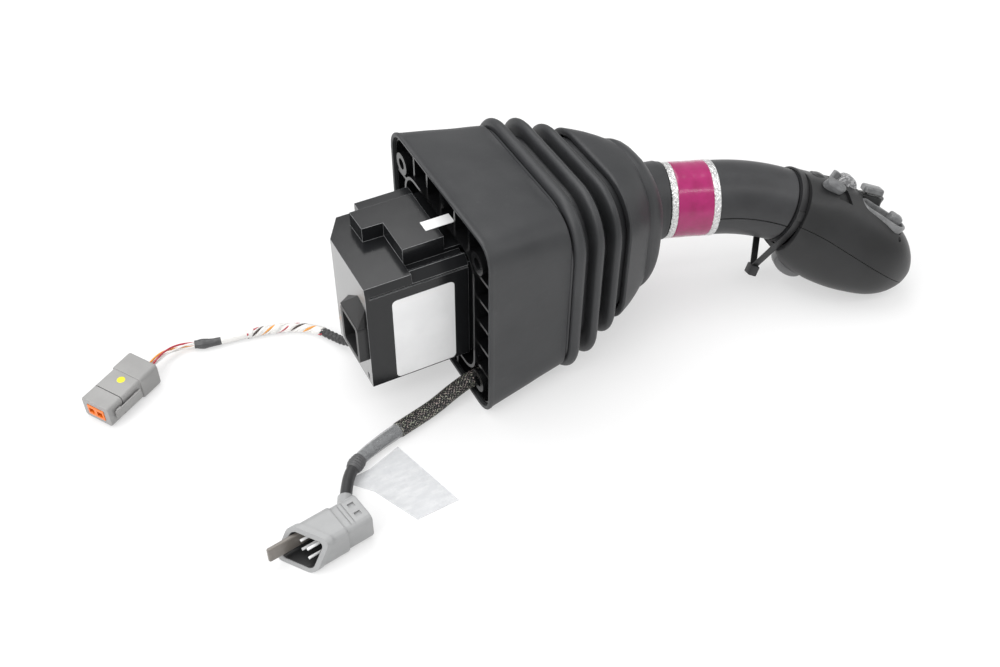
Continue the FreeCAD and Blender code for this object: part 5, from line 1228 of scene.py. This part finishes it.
# Electronics box
BOX_REAR = -60.0
BOX_FRONT = 16.0
BOX_LOW = -39.0
BOX_TOP = 37.0
BOX_NEAR = -33.0
BOX_OUTLINE = ((BOX_REAR, BOX_NEAR), (BOX_FRONT, BOX_NEAR), (BOX_FRONT, 33.0), (-49.7, 33.0),
               (BOX_REAR, 16.6))
BOX_INNER = ((-57.5, -30.6), (13.6, -30.6), (13.6, 30.6), (-48.6, 30.6), (-57.5, 16.0))
BOX_FLOOR_WALL = 2.4
BOX_TOP_WALL = 3.4
BOX_ROUNDING = 0.55
COVER_THICKNESS = 3.0
PLATEAU_OUTLINE = ((-45.0, 22.6), (-44.5, 5.9), (-31.5, 5.5), (-31.4, -20.6), (-6.0, -20.6), (-6.0, 22.6))
PLATEAU_TOP = 46.5
PLATEAU_NEAR = -20.6
BLOCK_CORNERS = ((-38.0, 20.0, BOX_TOP - 4), (-4.0, 32.9, 43.2))
RIDGE_X = -31.4
RIDGE_Y = -28.6
COLLAR_X = 3.0
SHOULDER_Y = -31.5
SHOULDER_Z = 31.5
SOCKET_MID = (-17.8, -6.0)
SOCKET_HALF = (12.6, 14.0)
SOCKET_FRONT = -65.5
PLENTY = 80.0
BOX_CUTS = (
    ("groove", (RIDGE_X, RIDGE_Y + 1.2, BOX_TOP - 2.6), (BOX_FRONT - 4, PLATEAU_NEAR, BOX_TOP + 1)),
    ("collar_side", (COLLAR_X, BOX_NEAR - 1, BOX_LOW - 1), (BOX_FRONT + 1, BOX_NEAR + 1.4, BOX_TOP + 1)),
    ("collar_top", (COLLAR_X, BOX_NEAR - 1, BOX_TOP - 4.6), (BOX_FRONT + 1, PLATEAU_NEAR, BOX_TOP + 1)),
    ("slot", (BOX_REAR - 1, -28.9, -36.8), (BOX_REAR + 3.4, -25.9, -32.0)),
    ("step", (BOX_REAR + 2.4, BOX_NEAR - 1, SHOULDER_Z - 1.8),
     (BOX_FRONT - 4, BOX_NEAR + 0.7, SHOULDER_Z - 0.2)),
)
# Turns a frame so that its upright direction runs along its first axis
ALONG = Matrix(((0, 0, 1, 0), (1, 0, 0, 0), (0, 1, 0, 0), (0, 0, 0, 1)))


def extruded(name, outline_points, low, high):
    """Upright prism on an outline in plan."""
    loops = [[Vector((x, y, z)) for x, y in outline_points] for z in (low, high)]
    return tidy_normals(loft(name, loops))


def plain_block(name, low, high):
    """Block between two corners."""
    outline_points = ((low[0], low[1]), (high[0], low[1]), (high[0], high[1]), (low[0], high[1]))
    return extruded(name, outline_points, low[2], high[2])


def shoulder(start, end, top_y):
    """Wedge that slopes the near top edge of the box between two distances."""
    section = ((top_y, BOX_TOP), (BOX_NEAR, SHOULDER_Z), (BOX_NEAR - 2, SHOULDER_Z),
               (BOX_NEAR - 2, BOX_TOP + 2), (top_y, BOX_TOP + 2))
    loops = [[Vector((x, y, z)) for y, z in section] for x in (start, end)]
    return tidy_normals(loft("wedge", loops))


def make_socket_roof():
    """Sloping roof over the socket in the end of the box."""
    far = SOCKET_MID[0] + SOCKET_HALF[0]
    near = SOCKET_MID[0] - SOCKET_HALF[0]
    low = SOCKET_MID[1] + SOCKET_HALF[1] - 0.6
    back = BOX_REAR - 0.05
    tip = SOCKET_FRONT + 0.2
    corners = ((back, far, 12.0), (back, -21.5, 25.0), (back, near, 21.0), (tip, far, low + 0.6),
               (tip, near, low + 0.6), (back, far, low), (back, near, low), (tip, far, low),
               (tip, near, low))
    work = bmesh.new()
    points = [work.verts.new(Vector(corner) * MM) for corner in corners]
    bmesh.ops.convex_hull(work, input=points)
    roof = object_of("socket_roof", work)
    dress(crisp(bevelled(roof, 0.4)), ROOF, "base", ())


def make_box():
    """Electronics box with its raised top and eased edges, and its end cover round the socket; the eased
    edges carry a light grey painted highlight.
    """
    whole = extruded("box", BOX_OUTLINE, BOX_LOW, BOX_TOP)
    make_socket_roof()
    plateau = extruded("plateau", PLATEAU_OUTLINE, BOX_TOP - 2, PLATEAU_TOP)
    block = plain_block("block", *BLOCK_CORNERS)
    combined(whole, [plateau, block], "UNION")
    cuts = [shoulder(BOX_REAR - 1, RIDGE_X, SHOULDER_Y), shoulder(RIDGE_X, BOX_FRONT + 1, RIDGE_Y)]
    cuts += [plain_block(*row) for row in BOX_CUTS]
    combined(whole, cuts, "DIFFERENCE")
    # Slot 1 is the light grey painted highlight on the rounded edge strips
    for material in (BOX, BOX_EDGE_HIGHLIGHT):
        whole.data.materials.append(material)
    bevelled(whole, BOX_ROUNDING, 28, 1)
    inside = extruded("inside", BOX_INNER, BOX_LOW + BOX_FLOOR_WALL, BOX_TOP - BOX_TOP_WALL)
    mouth = Matrix.Translation((SOCKET_FRONT - 4, *SOCKET_MID)) @ ALONG
    opening = slab("opening", SOCKET_HALF[0] + 0.1, SOCKET_HALF[1] + 0.1, 3.0, 0.0, 20.0, mouth)
    split = BOX_REAR + COVER_THICKNESS
    cover = new_object("box_end_cover", whole.data.copy())
    ahead = plain_block("rest", (split, -PLENTY, -PLENTY), (PLENTY, PLENTY, PLENTY))
    combined(cover, [opening, ahead], "DIFFERENCE")
    cover.data.materials[0] = BOX_END
    cover.data.materials.append(BOX)
    for face in cover.data.polygons:
        if face.material_index == 0 and face.normal.x > -0.9:
            face.material_index = 2
    behind = plain_block("rest", (-PLENTY, -PLENTY, -PLENTY), (split + 0.02, PLENTY, PLENTY))
    combined(whole, [inside, behind], "DIFFERENCE")
    whole.name = "box_body"
    dress(crisp(whole), BOX, "base", ["box_housing"])
    dress(crisp(cover), BOX_END, "base", ["rear_cover"])


# Harness routes, the same points as the construction's, and the stretch of each sleeve along them
BRAID_ROUTE = (
    (13.0, -40.0, -54.0), (1.0, -40.0, -54.0), (-13.0, -42.0, -57.4), (-27.0, -45.7, -60.6),
    (-41.0, -49.0, -61.1), (-55.0, -52.5, -61.1), (-69.0, -56.4, -61.4), (-81.0, -61.0, -61.2),
    (-90.0, -67.5, -60.8), (-96.6, -76.5, -60.0), (-101.0, -86.0, -58.8),
)
THIN_ROUTE = (
    (-47.0, 14.0, -40.5), (-47.0, 14.0, -48.5), (-50.0, 21.0, -55.0), (-54.5, 30.5, -60.6),
    (-58.5, 39.5, -62.3), (-62.8, 47.4, -62.7), (-69.3, 53.8, -62.8), (-78.5, 59.8, -62.9),
    (-91.0, 64.0, -62.8), (-106.0, 66.6, -62.9), (-121.0, 68.1, -62.8), (-131.0, 69.9, -62.8),
    (-139.0, 72.9, -62.9), (-148.0, 74.3, -62.0), (-156.8, 71.4, -59.4), (-164.9, 65.6, -57.5),
    (-173.2, 60.0, -57.5),
)
THIN_LENGTH = 170.0
WIRE_SIDES = 9
BRAID_SPAN = (0.3, 69.0)
CLEAR_SPAN = (67.5, 101.0)
TAPE_SPAN = (98.5, 108.0)
SHEATH_SPAN = (0.2, 48.5)
WRAPS_SPAN = (46.0, 97.0)
BANDAGE_SPAN = (47.0, 96.0)
WHITE_SPAN = (94.0, 113.4)
SHRINK_SPAN = (113.0, 130.0)
SHRINK_BULGE = 124.5
TAG_POINTS = ((-58.0, -60.0), (-43.1, -111.4), (-69.5, -113.2), (-83.3, -84.0), (-93.0, -73.5),
              (-89.0, -69.0), (-79.0, -68.0))
TAG_THICKNESS = 0.3


def route_curve(name, route, radius):
    """Smooth cord on its route; a radius of none leaves a bare line."""
    data = bpy.data.curves.new(name, "CURVE")
    data.dimensions = "3D"
    data.resolution_u = 16
    spline = data.splines.new("NURBS")
    spline.points.add(len(route) - 1)
    for point, place in zip(spline.points, route):
        point.co = (place[0] * MM, place[1] * MM, place[2] * MM, 1.0)
    spline.order_u = 3
    spline.use_endpoint_u = True
    if radius:
        data.bevel_depth = radius * MM
        data.bevel_resolution = 6
        data.use_fill_caps = True
    return new_object(name, data)


def route_points(route):
    """Points in millimetres read from the route's spline."""
    line = route_curve("line", route, None)
    graph = bpy.context.evaluated_depsgraph_get()
    mesh = bpy.data.meshes.new_from_object(line.evaluated_get(graph))
    points = [v.co / MM for v in mesh.vertices]
    bpy.data.objects.remove(line)
    return points


def cord_places(points, start, end, count):
    """Distance, centre, sideways and upward directions at even steps along part of a cord."""
    lengths = [0.0]
    for first, last in zip(points, points[1:]):
        lengths.append(lengths[-1] + (last - first).length)
    places = []
    index = 0
    for step in range(count + 1):
        at = between(start, min(end, lengths[-1]), step / count)
        while index < len(lengths) - 2 and lengths[index + 1] < at:
            index += 1
        share = (at - lengths[index]) / max(lengths[index + 1] - lengths[index], 1e-9)
        centre = points[index].lerp(points[index + 1], share)
        low = max(index - 1, 0)
        high = min(index + 2, len(points) - 1)
        along = (points[high] - points[low]).normalized()
        side = along.cross(Vector((0.0, 0.0, 1.0))).normalized()
        places.append((at, centre, side, side.cross(along)))
    return places


def tube_faces(work, rows):
    """Faces of a closed tube through rows of points: sides with their row and column, and ends."""
    sides = []
    for row, (first, second) in enumerate(zip(rows, rows[1:])):
        for column in range(len(first)):
            following = (column + 1) % len(first)
            face = work.faces.new((first[column], first[following], second[following], second[column]))
            sides.append((face, row, column))
    return sides, [work.faces.new(rows[0][::-1]), work.faces.new(rows[-1])]


def cord_skin(name, places, reach_at, sides):
    """Tube round a cord, with a map of distance along and round it; reach_at takes distance and angle."""
    work = bmesh.new()
    layer = work.loops.layers.uv.new("UVMap")
    rows = []
    for at, centre, side, up in places:
        row = []
        for angle in even_angles(sides):
            point = centre + (side * math.cos(angle) + up * math.sin(angle)) * reach_at(at, angle)
            point.z = max(point.z, FLOOR_Z + 0.02)
            row.append(work.verts.new(point * MM))
        rows.append(row)
    for face, row, column in tube_faces(work, rows)[0]:
        for loop, (further, beside) in zip(face.loops, ((0, 0), (0, 1), (1, 1), (1, 0))):
            loop[layer].uv = (places[row + further][0] * MM, (column + beside) / sides)
    bmesh.ops.recalc_face_normals(work, faces=work.faces)
    return object_of(name, work)


def lumps(at, angle, along, around):
    """Unevenness of a cord's skin; along and around give how quickly it changes."""
    return noise.noise(Vector((at * along, math.cos(angle) * around, math.sin(angle) * around)))


def braid_reach(at, angle):
    """Raised strands that cross over and under each other."""
    turn = BRAID_STRANDS * angle
    climb = 2 * math.pi * at / BRAID_PITCH
    first = math.cos(turn + climb)
    second = math.cos(turn - climb)
    return 4.62 + 0.26 * max(first * abs(first), second * abs(second), -0.4)


def clear_reach(at, angle):
    """Clear sleeve that narrows along the cord."""
    start, end = CLEAR_SPAN
    return between(4.6, 3.85, (at - start) / (end - start)) + 0.12 * lumps(at, angle, 0.3, 1.5)


def tape_reach(at, angle):
    """Lumpy wraps of tape, thickest in the middle."""
    start, end = TAPE_SPAN
    share = min(max((at - start) / (end - start), 0.0), 1.0)
    wraps = 0.18 * math.sin(at * 3.4 + angle) + 0.35 * lumps(at, angle, 0.45, 1.8)
    return 3.7 + (1.0 + wraps) * math.sin(math.pi * share) ** 0.5


def sheath_reach(at, angle):
    """Crinkled sheath."""
    ripple = 0.22 * math.sin(at * 1.9 + 1.2 * math.sin(angle))
    return 2.75 + ripple + 0.35 * lumps(at, angle, 0.35, 1.4)


def bandage_reach(at, angle):
    """White wrapping over the wires; where it dips inside them, they show."""
    wave = math.sin(2 * math.pi * at / 9.0 - angle)
    patches = noise.noise(Vector((at * 0.11, 3.0, 1.0)))
    return 2.3 + 0.85 * min(max(0.55 + 0.5 * wave + 0.9 * patches, 0.0), 1.0)


def white_reach(at, angle):
    """Nearly even white sleeve."""
    return 2.6 + 0.14 * lumps(at, angle, 0.3, 1.3)


def shrink_reach(at, angle):
    """Shrink tube with one bulge."""
    bulge = 0.75 * math.exp(-((at - SHRINK_BULGE) / 3.6) ** 2)
    return 2.5 + bulge + 0.2 * lumps(at, angle, 0.4, 1.5)


def make_braided_harness():
    """Braid, clear sleeve, tape and sheath on one cord, with its tag and receptacle."""
    points = route_points(BRAID_ROUTE)
    core = route_curve("braided_harness", BRAID_ROUTE, 3.5)
    dress(core, SHEATH, "base", ["black_sheath"])
    braid = cord_skin("braid_cover", cord_places(points, *BRAID_SPAN, 420), braid_reach, 112)
    dress(smooth(braid, 80), BRAID, "base", ["braid_sleeve"])
    clear = cord_skin("clear_cover", cord_places(points, *CLEAR_SPAN, 60), clear_reach, 40)
    dress(smooth(clear, 60), CLEAR, "base", ["clear_sleeve"])
    lump = cord_skin("tape_wrap", cord_places(points, *TAPE_SPAN, 34), tape_reach, 44)
    dress(smooth(lump, 50), TAPE, "base", ["tape_lump"])
    tag = extruded("blank_tag", TAG_POINTS, FLOOR_Z, FLOOR_Z + TAG_THICKNESS)
    dress(tag, TAG, "base", ["tag_flag"])
    pieces = [braid, clear, lump, tag] + make_receptacle()


# Connectors: where the rear is, the direction, half width and half height, and distances from the rear
RECEPTACLE_REAR = Vector((-97.2, -103.6, -55.5))
RECEPTACLE_TURN = 189.6
RECEPTACLE_HALF = (11.2, 10.3)
RECEPTACLE_LENGTH = 51.0
RECEPTACLE_WAIST = 16.0
CAVITY_DEPTH = 27.0
MOUTH_MID = Vector((39.5, 0.0, 0.0))
MOUTH_FACING = Vector((-0.72, -0.54, 0.43)).normalized()
SPOUT_RADIUS = 4.7
PLUG_REAR = Vector((-172.6, 62.2, -57.5))
PLUG_TURN = 212.5
PLUG_HALF = (11.4, 8.3)
PLUG_LENGTH = 42.7
PLUG_STEP = 15.0


def connector_frame(rear, turn):
    """Frame at a connector's rear: along it, across and up."""
    angle = math.radians(turn)
    along = Vector((math.cos(angle), math.sin(angle), 0.0))
    return local_frame(rear, along, Vector((0.0, 0.0, 1.0)).cross(along))


def make_receptacle():
    """Light grey receptacle: ribbed collar, open mouth, tongue, pins and the boot of its side spout; a dark
    inner sleeve in the cavity and the tongue's darker grey are painted shade.
    """
    turn = connector_frame(RECEPTACLE_REAR, RECEPTACLE_TURN)
    along = turn @ ALONG
    half_w, half_h = RECEPTACLE_HALF
    length = RECEPTACLE_LENGTH
    waist = RECEPTACLE_WAIST
    levels = [(1.2, waist), (0.3, waist + 0.4), (0.0, waist + 1.2),
              (0.0, length - 1.0), (0.3, length - 0.3), (1.0, length)]
    shell = cushion("shell", half_w, half_h, 4.6, levels, along)
    levels = [(1.3, 0.0), (0.35, 0.3), (0.0, 1.2), (0.0, waist + 2.0)]
    rear = cushion("rear", half_w - 1.0, half_h - 1.0, 3.6, levels, along)
    lip = slab("lip", half_w + 0.45, half_h + 0.3, 4.6, waist, length, along, 0.0, 0.3)
    facing = MOUTH_FACING.to_track_quat("Z", "Y").to_matrix().to_4x4()
    slant = Matrix.Translation(turn @ MOUTH_MID) @ facing
    combined(lip, [slab("rest", 60.0, 60.0, 1.0, -90.0, -3.0, slant)], "DIFFERENCE")
    tip = Vector(BRAID_ROUTE[-1])
    way = (tip - Vector(BRAID_ROUTE[-2])).normalized()
    side = way.cross(Vector((0.0, 0.0, 1.0))).normalized()
    spout = drum("spout", SPOUT_RADIUS, [(0.5, 0.0), (0.0, 0.5), (0.0, 14.0)],
                 local_frame(tip, side, way.cross(side)), 40)
    combined(shell, [rear, lip, spout], "UNION")
    shell.name = "receptacle_body"
    cuts = [slab("cavity", half_w - 2.0, half_h - 2.0, 3.0, length - CAVITY_DEPTH, length + 1.0, along),
            slab("mouth", 60.0, 60.0, 1.0, 0.0, 60.0, slant)]
    cuts += [slab("slot", 1.5, 1.0, 0.3, 3.6, 7.4, along, across, half_h - 1.2) for across in (-3.4, 3.4)]
    cuts += [slab("panel", half_w - 3.0, 0.5, 0.2, at, at + 0.7, along, 0.0, half_h - 1.0)
             for at in (9.6, 12.0)]
    combined(shell, cuts, "DIFFERENCE")
    dress(crisp(shell), LIGHT_GREY, "base", ["receptacle_shell"])
    levels = [(0.5, 24.2), (0.0, 25.0), (0.0, length + 3.8), (0.3, length + 4.6), (0.8, length + 4.9)]
    tongue = cushion("receptacle_tongue", 1.2, 5.2, 0.8, levels, along, -half_w + 2.2 + 1.3)
    deep = length - CAVITY_DEPTH
    # Painted shade: a dark inner sleeve inside the cavity, where shade falls
    cavity_shade_lining = slab("cavity_shade_lining", half_w - 2.05, half_h - 2.05, 3.0, deep + 0.1, length, along)
    hollow = slab("hollow", half_w - 2.5, half_h - 2.5, 2.6, deep + 1.0, length + 1, along)
    combined(cavity_shade_lining, [hollow, slab("mouth", 60.0, 60.0, 1.0, -0.4, 60.0, slant)], "DIFFERENCE")
    dress(crisp(cavity_shade_lining), SOCKET, "base", ())
    dress(crisp(tongue), TONGUE_SHADE_GREY, "base", ["receptacle_wedge"])
    return [shell, cavity_shade_lining, tongue, bpy.data.objects["receptacle_pins"]]


def strand_bundle(name, places, radius, reach, pitch, materials, seed):
    """Loose wires twisted round each other along a cord, one for each material."""
    draw = random.Random(seed)
    work = bmesh.new()
    for number in range(len(materials)):
        phase = 2 * math.pi * number / len(materials)
        wander = draw.uniform(0.0, 10.0)
        rows = []
        for at, centre, side, up in places:
            angle = phase + 2 * math.pi * at / pitch + 0.5 * noise.noise(Vector((at * 0.06, wander, 0.0)))
            middle = centre + (side * math.cos(angle) + up * math.sin(angle)) * reach
            ring = [middle + (side * math.cos(turn) + up * math.sin(turn)) * radius
                    for turn in even_angles(WIRE_SIDES)]
            rows.append([work.verts.new(point * MM) for point in ring])
        sides, ends = tube_faces(work, rows)
        for face in [row[0] for row in sides] + ends:
            face.material_index = number
    bmesh.ops.recalc_face_normals(work, faces=work.faces)
    made = object_of(name, work)
    for material in materials:
        made.data.materials.append(material)
    return made


def make_thin_harness():
    """Loose coloured wires with a sheath, wrapping, a white sleeve, a shrink tube and the plug."""
    points = route_points(THIN_ROUTE)
    places = cord_places(points, 0.0, THIN_LENGTH + 2.0, 340)
    colours = [WIRE_ORANGE, WIRE_RED, WIRE_WHITE, WIRE_WHITE]
    wires = strand_bundle("thin_harness_wires", places, 0.62, 1.5, 74.0, colours, 4)
    dress(smooth(wires, 60), WIRE_WHITE, "base", ["lead_wires"])
    colours = [WIRE_WHITE, WIRE_WHITE, WIRE_ORANGE, WIRE_WHITE, WIRE_WHITE, WIRE_WHITE, WIRE_RED,
               WIRE_WHITE, WIRE_DARK]
    places = cord_places(points, *WRAPS_SPAN, 200)
    wraps = strand_bundle("wrapped_wires", places, 0.8, 2.2, 26.0, colours, 9)
    bandage = cord_skin("white_bandage", cord_places(points, *BANDAGE_SPAN, 150), bandage_reach, 40)
    dress(smooth(bandage, 60), WIRE_WHITE, "base", ())
    dress(smooth(wraps, 60), WIRE_WHITE, "base", ["wrap_sleeve"])
    sheath = cord_skin("crinkled_sheath", cord_places(points, *SHEATH_SPAN, 110), sheath_reach, 32)
    dress(smooth(sheath, 60), SHEATH, "base", ["thin_sheath"])
    white = cord_skin("white_cover", cord_places(points, *WHITE_SPAN, 50), white_reach, 32)
    dress(smooth(white, 60), WIRE_WHITE, "base", ["white_sleeve"])
    shrink = cord_skin("shrink_cover", cord_places(points, *SHRINK_SPAN, 60), shrink_reach, 32)
    dress(smooth(shrink, 60), TAPE, "base", ["shrink_tube"])
    [wraps, bandage, sheath, white, shrink] + make_plug()


def make_plug():
    """Grey sealed plug with its coloured wedge, paint dot and side latch."""
    turn = connector_frame(PLUG_REAR, PLUG_TURN)
    along = turn @ ALONG
    half_w, half_h = PLUG_HALF
    length = PLUG_LENGTH
    step = PLUG_STEP
    levels = [(1.0, 0.0), (0.3, 0.3), (0.0, 1.0), (0.0, step - 0.8), (0.3, step), (1.0, step + 0.2)]
    body = cushion("body", half_w, half_h, 2.6, levels, along)
    levels = [(0.0, step - 2.0), (0.0, length - 0.8), (0.25, length - 0.2), (0.9, length)]
    combined(body, [cushion("nose", half_w - 0.9, half_h - 0.8, 2.0, levels, along)], "UNION")
    body.name = "plug_housing"
    mouth = slab("mouth", 6.6, 4.1, 0.6, length - 9.0, length + 1.0, along)
    groove = slab("groove", half_w, half_h, 2.6, 30.6, 31.2, along)
    combined(groove, [slab("keep", half_w - 2.0, half_h - 2.0, 1.8, 30.0, 31.9, along)], "DIFFERENCE")
    combined(body, [mouth, groove], "DIFFERENCE")
    dress(crisp(body), GREY, "base", ["plug_body"])
    levels = [(0.0, length - 8.9), (0.0, length + 0.3), (0.3, length + 0.55)]
    wedge = cushion("plug_wedge_colour", 6.4, 3.9, 0.5, levels, along)
    slots = [slab("hole", 2.1, 1.9, 0.3, length - 6.0, length + 2.0, along, across)
             for across in (-3.1, 3.1)]
    combined(wedge, slots, "DIFFERENCE")
    dress(crisp(wedge), ORANGE, "base", ["plug_wedge"])
    near = half_w - 1.6
    arm = [(0.3, 17.0), (0.0, 17.4), (0.0, length - 4.4), (0.3, length - 4.0)]
    press = [(0.4, length - 9.0), (0.0, length - 8.6), (0.0, length - 5.6), (0.4, length - 5.2)]
    latch = joined("plug_latch_bar", [cushion("arm", 0.55, 3.0, 0.5, arm, along, near + 2.1),
                                      slab("root", 0.8, 2.2, 0.4, 19.4, 22.0, along, near + 0.5),
                                      cushion("press", 0.9, 3.4, 0.5, press, along, near + 1.9)])
    dress(crisp(latch), GREY, "base", ["plug_latch"])
    levels = [(0.0, half_h - 0.9), (0.0, half_h - 0.74), (0.6, half_h - 0.66)]
    dot = drum("paint_dot", 2.5, levels, turn @ Matrix.Translation((20.0, 0.5, 0.0)), 28)
    dress(smooth(dot), YELLOW, "base", ())
    return [body, wedge, latch, dot]


# Stage
FLOOR_SIZE = 6.0
FLOOR_GAP = 0.0001
SHADOW_SOFTNESS = 0.5
WORLD_LIGHT = 0.62
WHITE = (1.0, 1.0, 1.0, 1.0)


def make_floor():
    """White floor that keeps the object's shadow."""
    size = FLOOR_SIZE
    z = FLOOR_Z * MM - FLOOR_GAP
    mesh = bpy.data.meshes.new("floor")
    mesh.from_pydata([(-size, -size, z), (size, -size, z), (size, size, z), (-size, size, z)], [],
                     [(0, 1, 2, 3)])
    floor = new_object("floor", mesh)
    finish = Finish("floor_white", (0.86, 0.86, 0.86), 0.9)
    camera = finish.node("ShaderNodeLightPath", {}, {}, "Is Camera Ray")
    rays = camera.socket.node.outputs
    seen = camera + Wire(finish, rays["Is Glossy Ray"]) + Wire(finish, rays["Is Transmission Ray"])
    glow = finish.node("ShaderNodeEmission", {}, {"Color": WHITE, "Strength": 1.0})
    share = finish.node("ShaderNodeMixShader", {}, {0: seen.math("MINIMUM", seen, 1.0) * SHADOW_SOFTNESS,
                                                    1: Wire(finish, finish.shader.outputs[0]), 2: glow})
    finish.tree.links.new(share.socket, finish.tree.nodes["Material Output"].inputs["Surface"])
    floor.data.materials.append(finish.material)


def make_world():
    """Pale light from all round, white where the camera sees past the object."""
    world = bpy.data.worlds.new("pale_world")
    bpy.context.scene.world = world
    world.use_nodes = True
    nodes = world.node_tree.nodes
    links = world.node_tree.links
    share = nodes.new("ShaderNodeMixShader")
    links.new(nodes.new("ShaderNodeLightPath").outputs["Is Camera Ray"], share.inputs[0])
    for number, back, strength in ((1, nodes["Background"], WORLD_LIGHT),
                                   (2, nodes.new("ShaderNodeBackground"), 1.0)):
        back.inputs["Color"].default_value = WHITE
        back.inputs["Strength"].default_value = strength
        links.new(back.outputs[0], share.inputs[number])
    links.new(share.outputs[0], nodes["World Output"].inputs[0])


def area_lamp(name, place, target, size, power):
    """Soft lamp aimed at a point; places in millimetres."""
    data = bpy.data.lights.new(name, "AREA")
    data.shape = "RECTANGLE"
    data.size, data.size_y = size
    data.energy = power
    lamp = new_object(name, data)
    lamp.location = Vector(place) * MM
    lamp.rotation_mode = "QUATERNION"
    lamp.rotation_quaternion = (Vector(target) - Vector(place)).to_track_quat("-Z", "Y")


def make_lamps():
    """Broad soft lamps above and beside."""
    area_lamp("top_lamp", (-100.0, 500.0, 1300.0), (60.0, 0.0, -20.0), (1.6, 1.1), 14.0)
    area_lamp("left_lamp", (-1100.0, -300.0, 700.0), (0.0, 0.0, -20.0), (1.0, 1.0), 9.0)
    area_lamp("strip_lamp", (0.0, -560.0, 1000.0), (150.0, 0.0, 0.0), (2.6, 0.05), 4.0)
    area_lamp("right_lamp", (1100.0, -300.0, 800.0), (100.0, 0.0, -20.0), (0.9, 0.9), 2.0)


CAD_FINISHES = {
    "frame_plastic": FRAME_SHADE_BLACK,
    "box_plastic": BOX,
    "socket_plastic": SOCKET,
    "contact_metal": CONTACT,
    "board_laminate": BOARD,
    "blank_plate": BLANK,
    "steel": STEEL,
    "bush_bronze": BRONZE,
    "yoke_metal": ALUMINIUM,
    "magnet_metal": STEEL,
    "boot_rubber": RUBBER,
    "grip_plastic": GRIP,
}


NODE_FINISHES = {"cover_screws": DARK_STEEL, "housing_screws": DARK_STEEL, "receptacle_pins": BLANK}


def dress_cad_nodes():
    """Give each node that stays the finish of its slot."""
    slots = {row["node"]: row["material_slot"] for row in frame["record"]["subparts"]}
    for node, slot in slots.items():
        material = NODE_FINISHES.get(node) or CAD_FINISHES.get(slot)
        made = bpy.data.objects.get(node)
        if made is None or material is None:
            continue
        made.data.materials.clear()
        made.data.materials.append(material)


make_camera()
make_braided_harness()
make_thin_harness()
make_skirt()
make_folds()
make_cone()
make_tube()
make_band()
make_head()
make_controls()
make_cover_dome()
make_strap()
make_box()
dress_cad_nodes()
make_floor()
make_world()
make_lamps()

view_settings = bpy.context.scene.view_settings
view_settings.view_transform = "Standard"
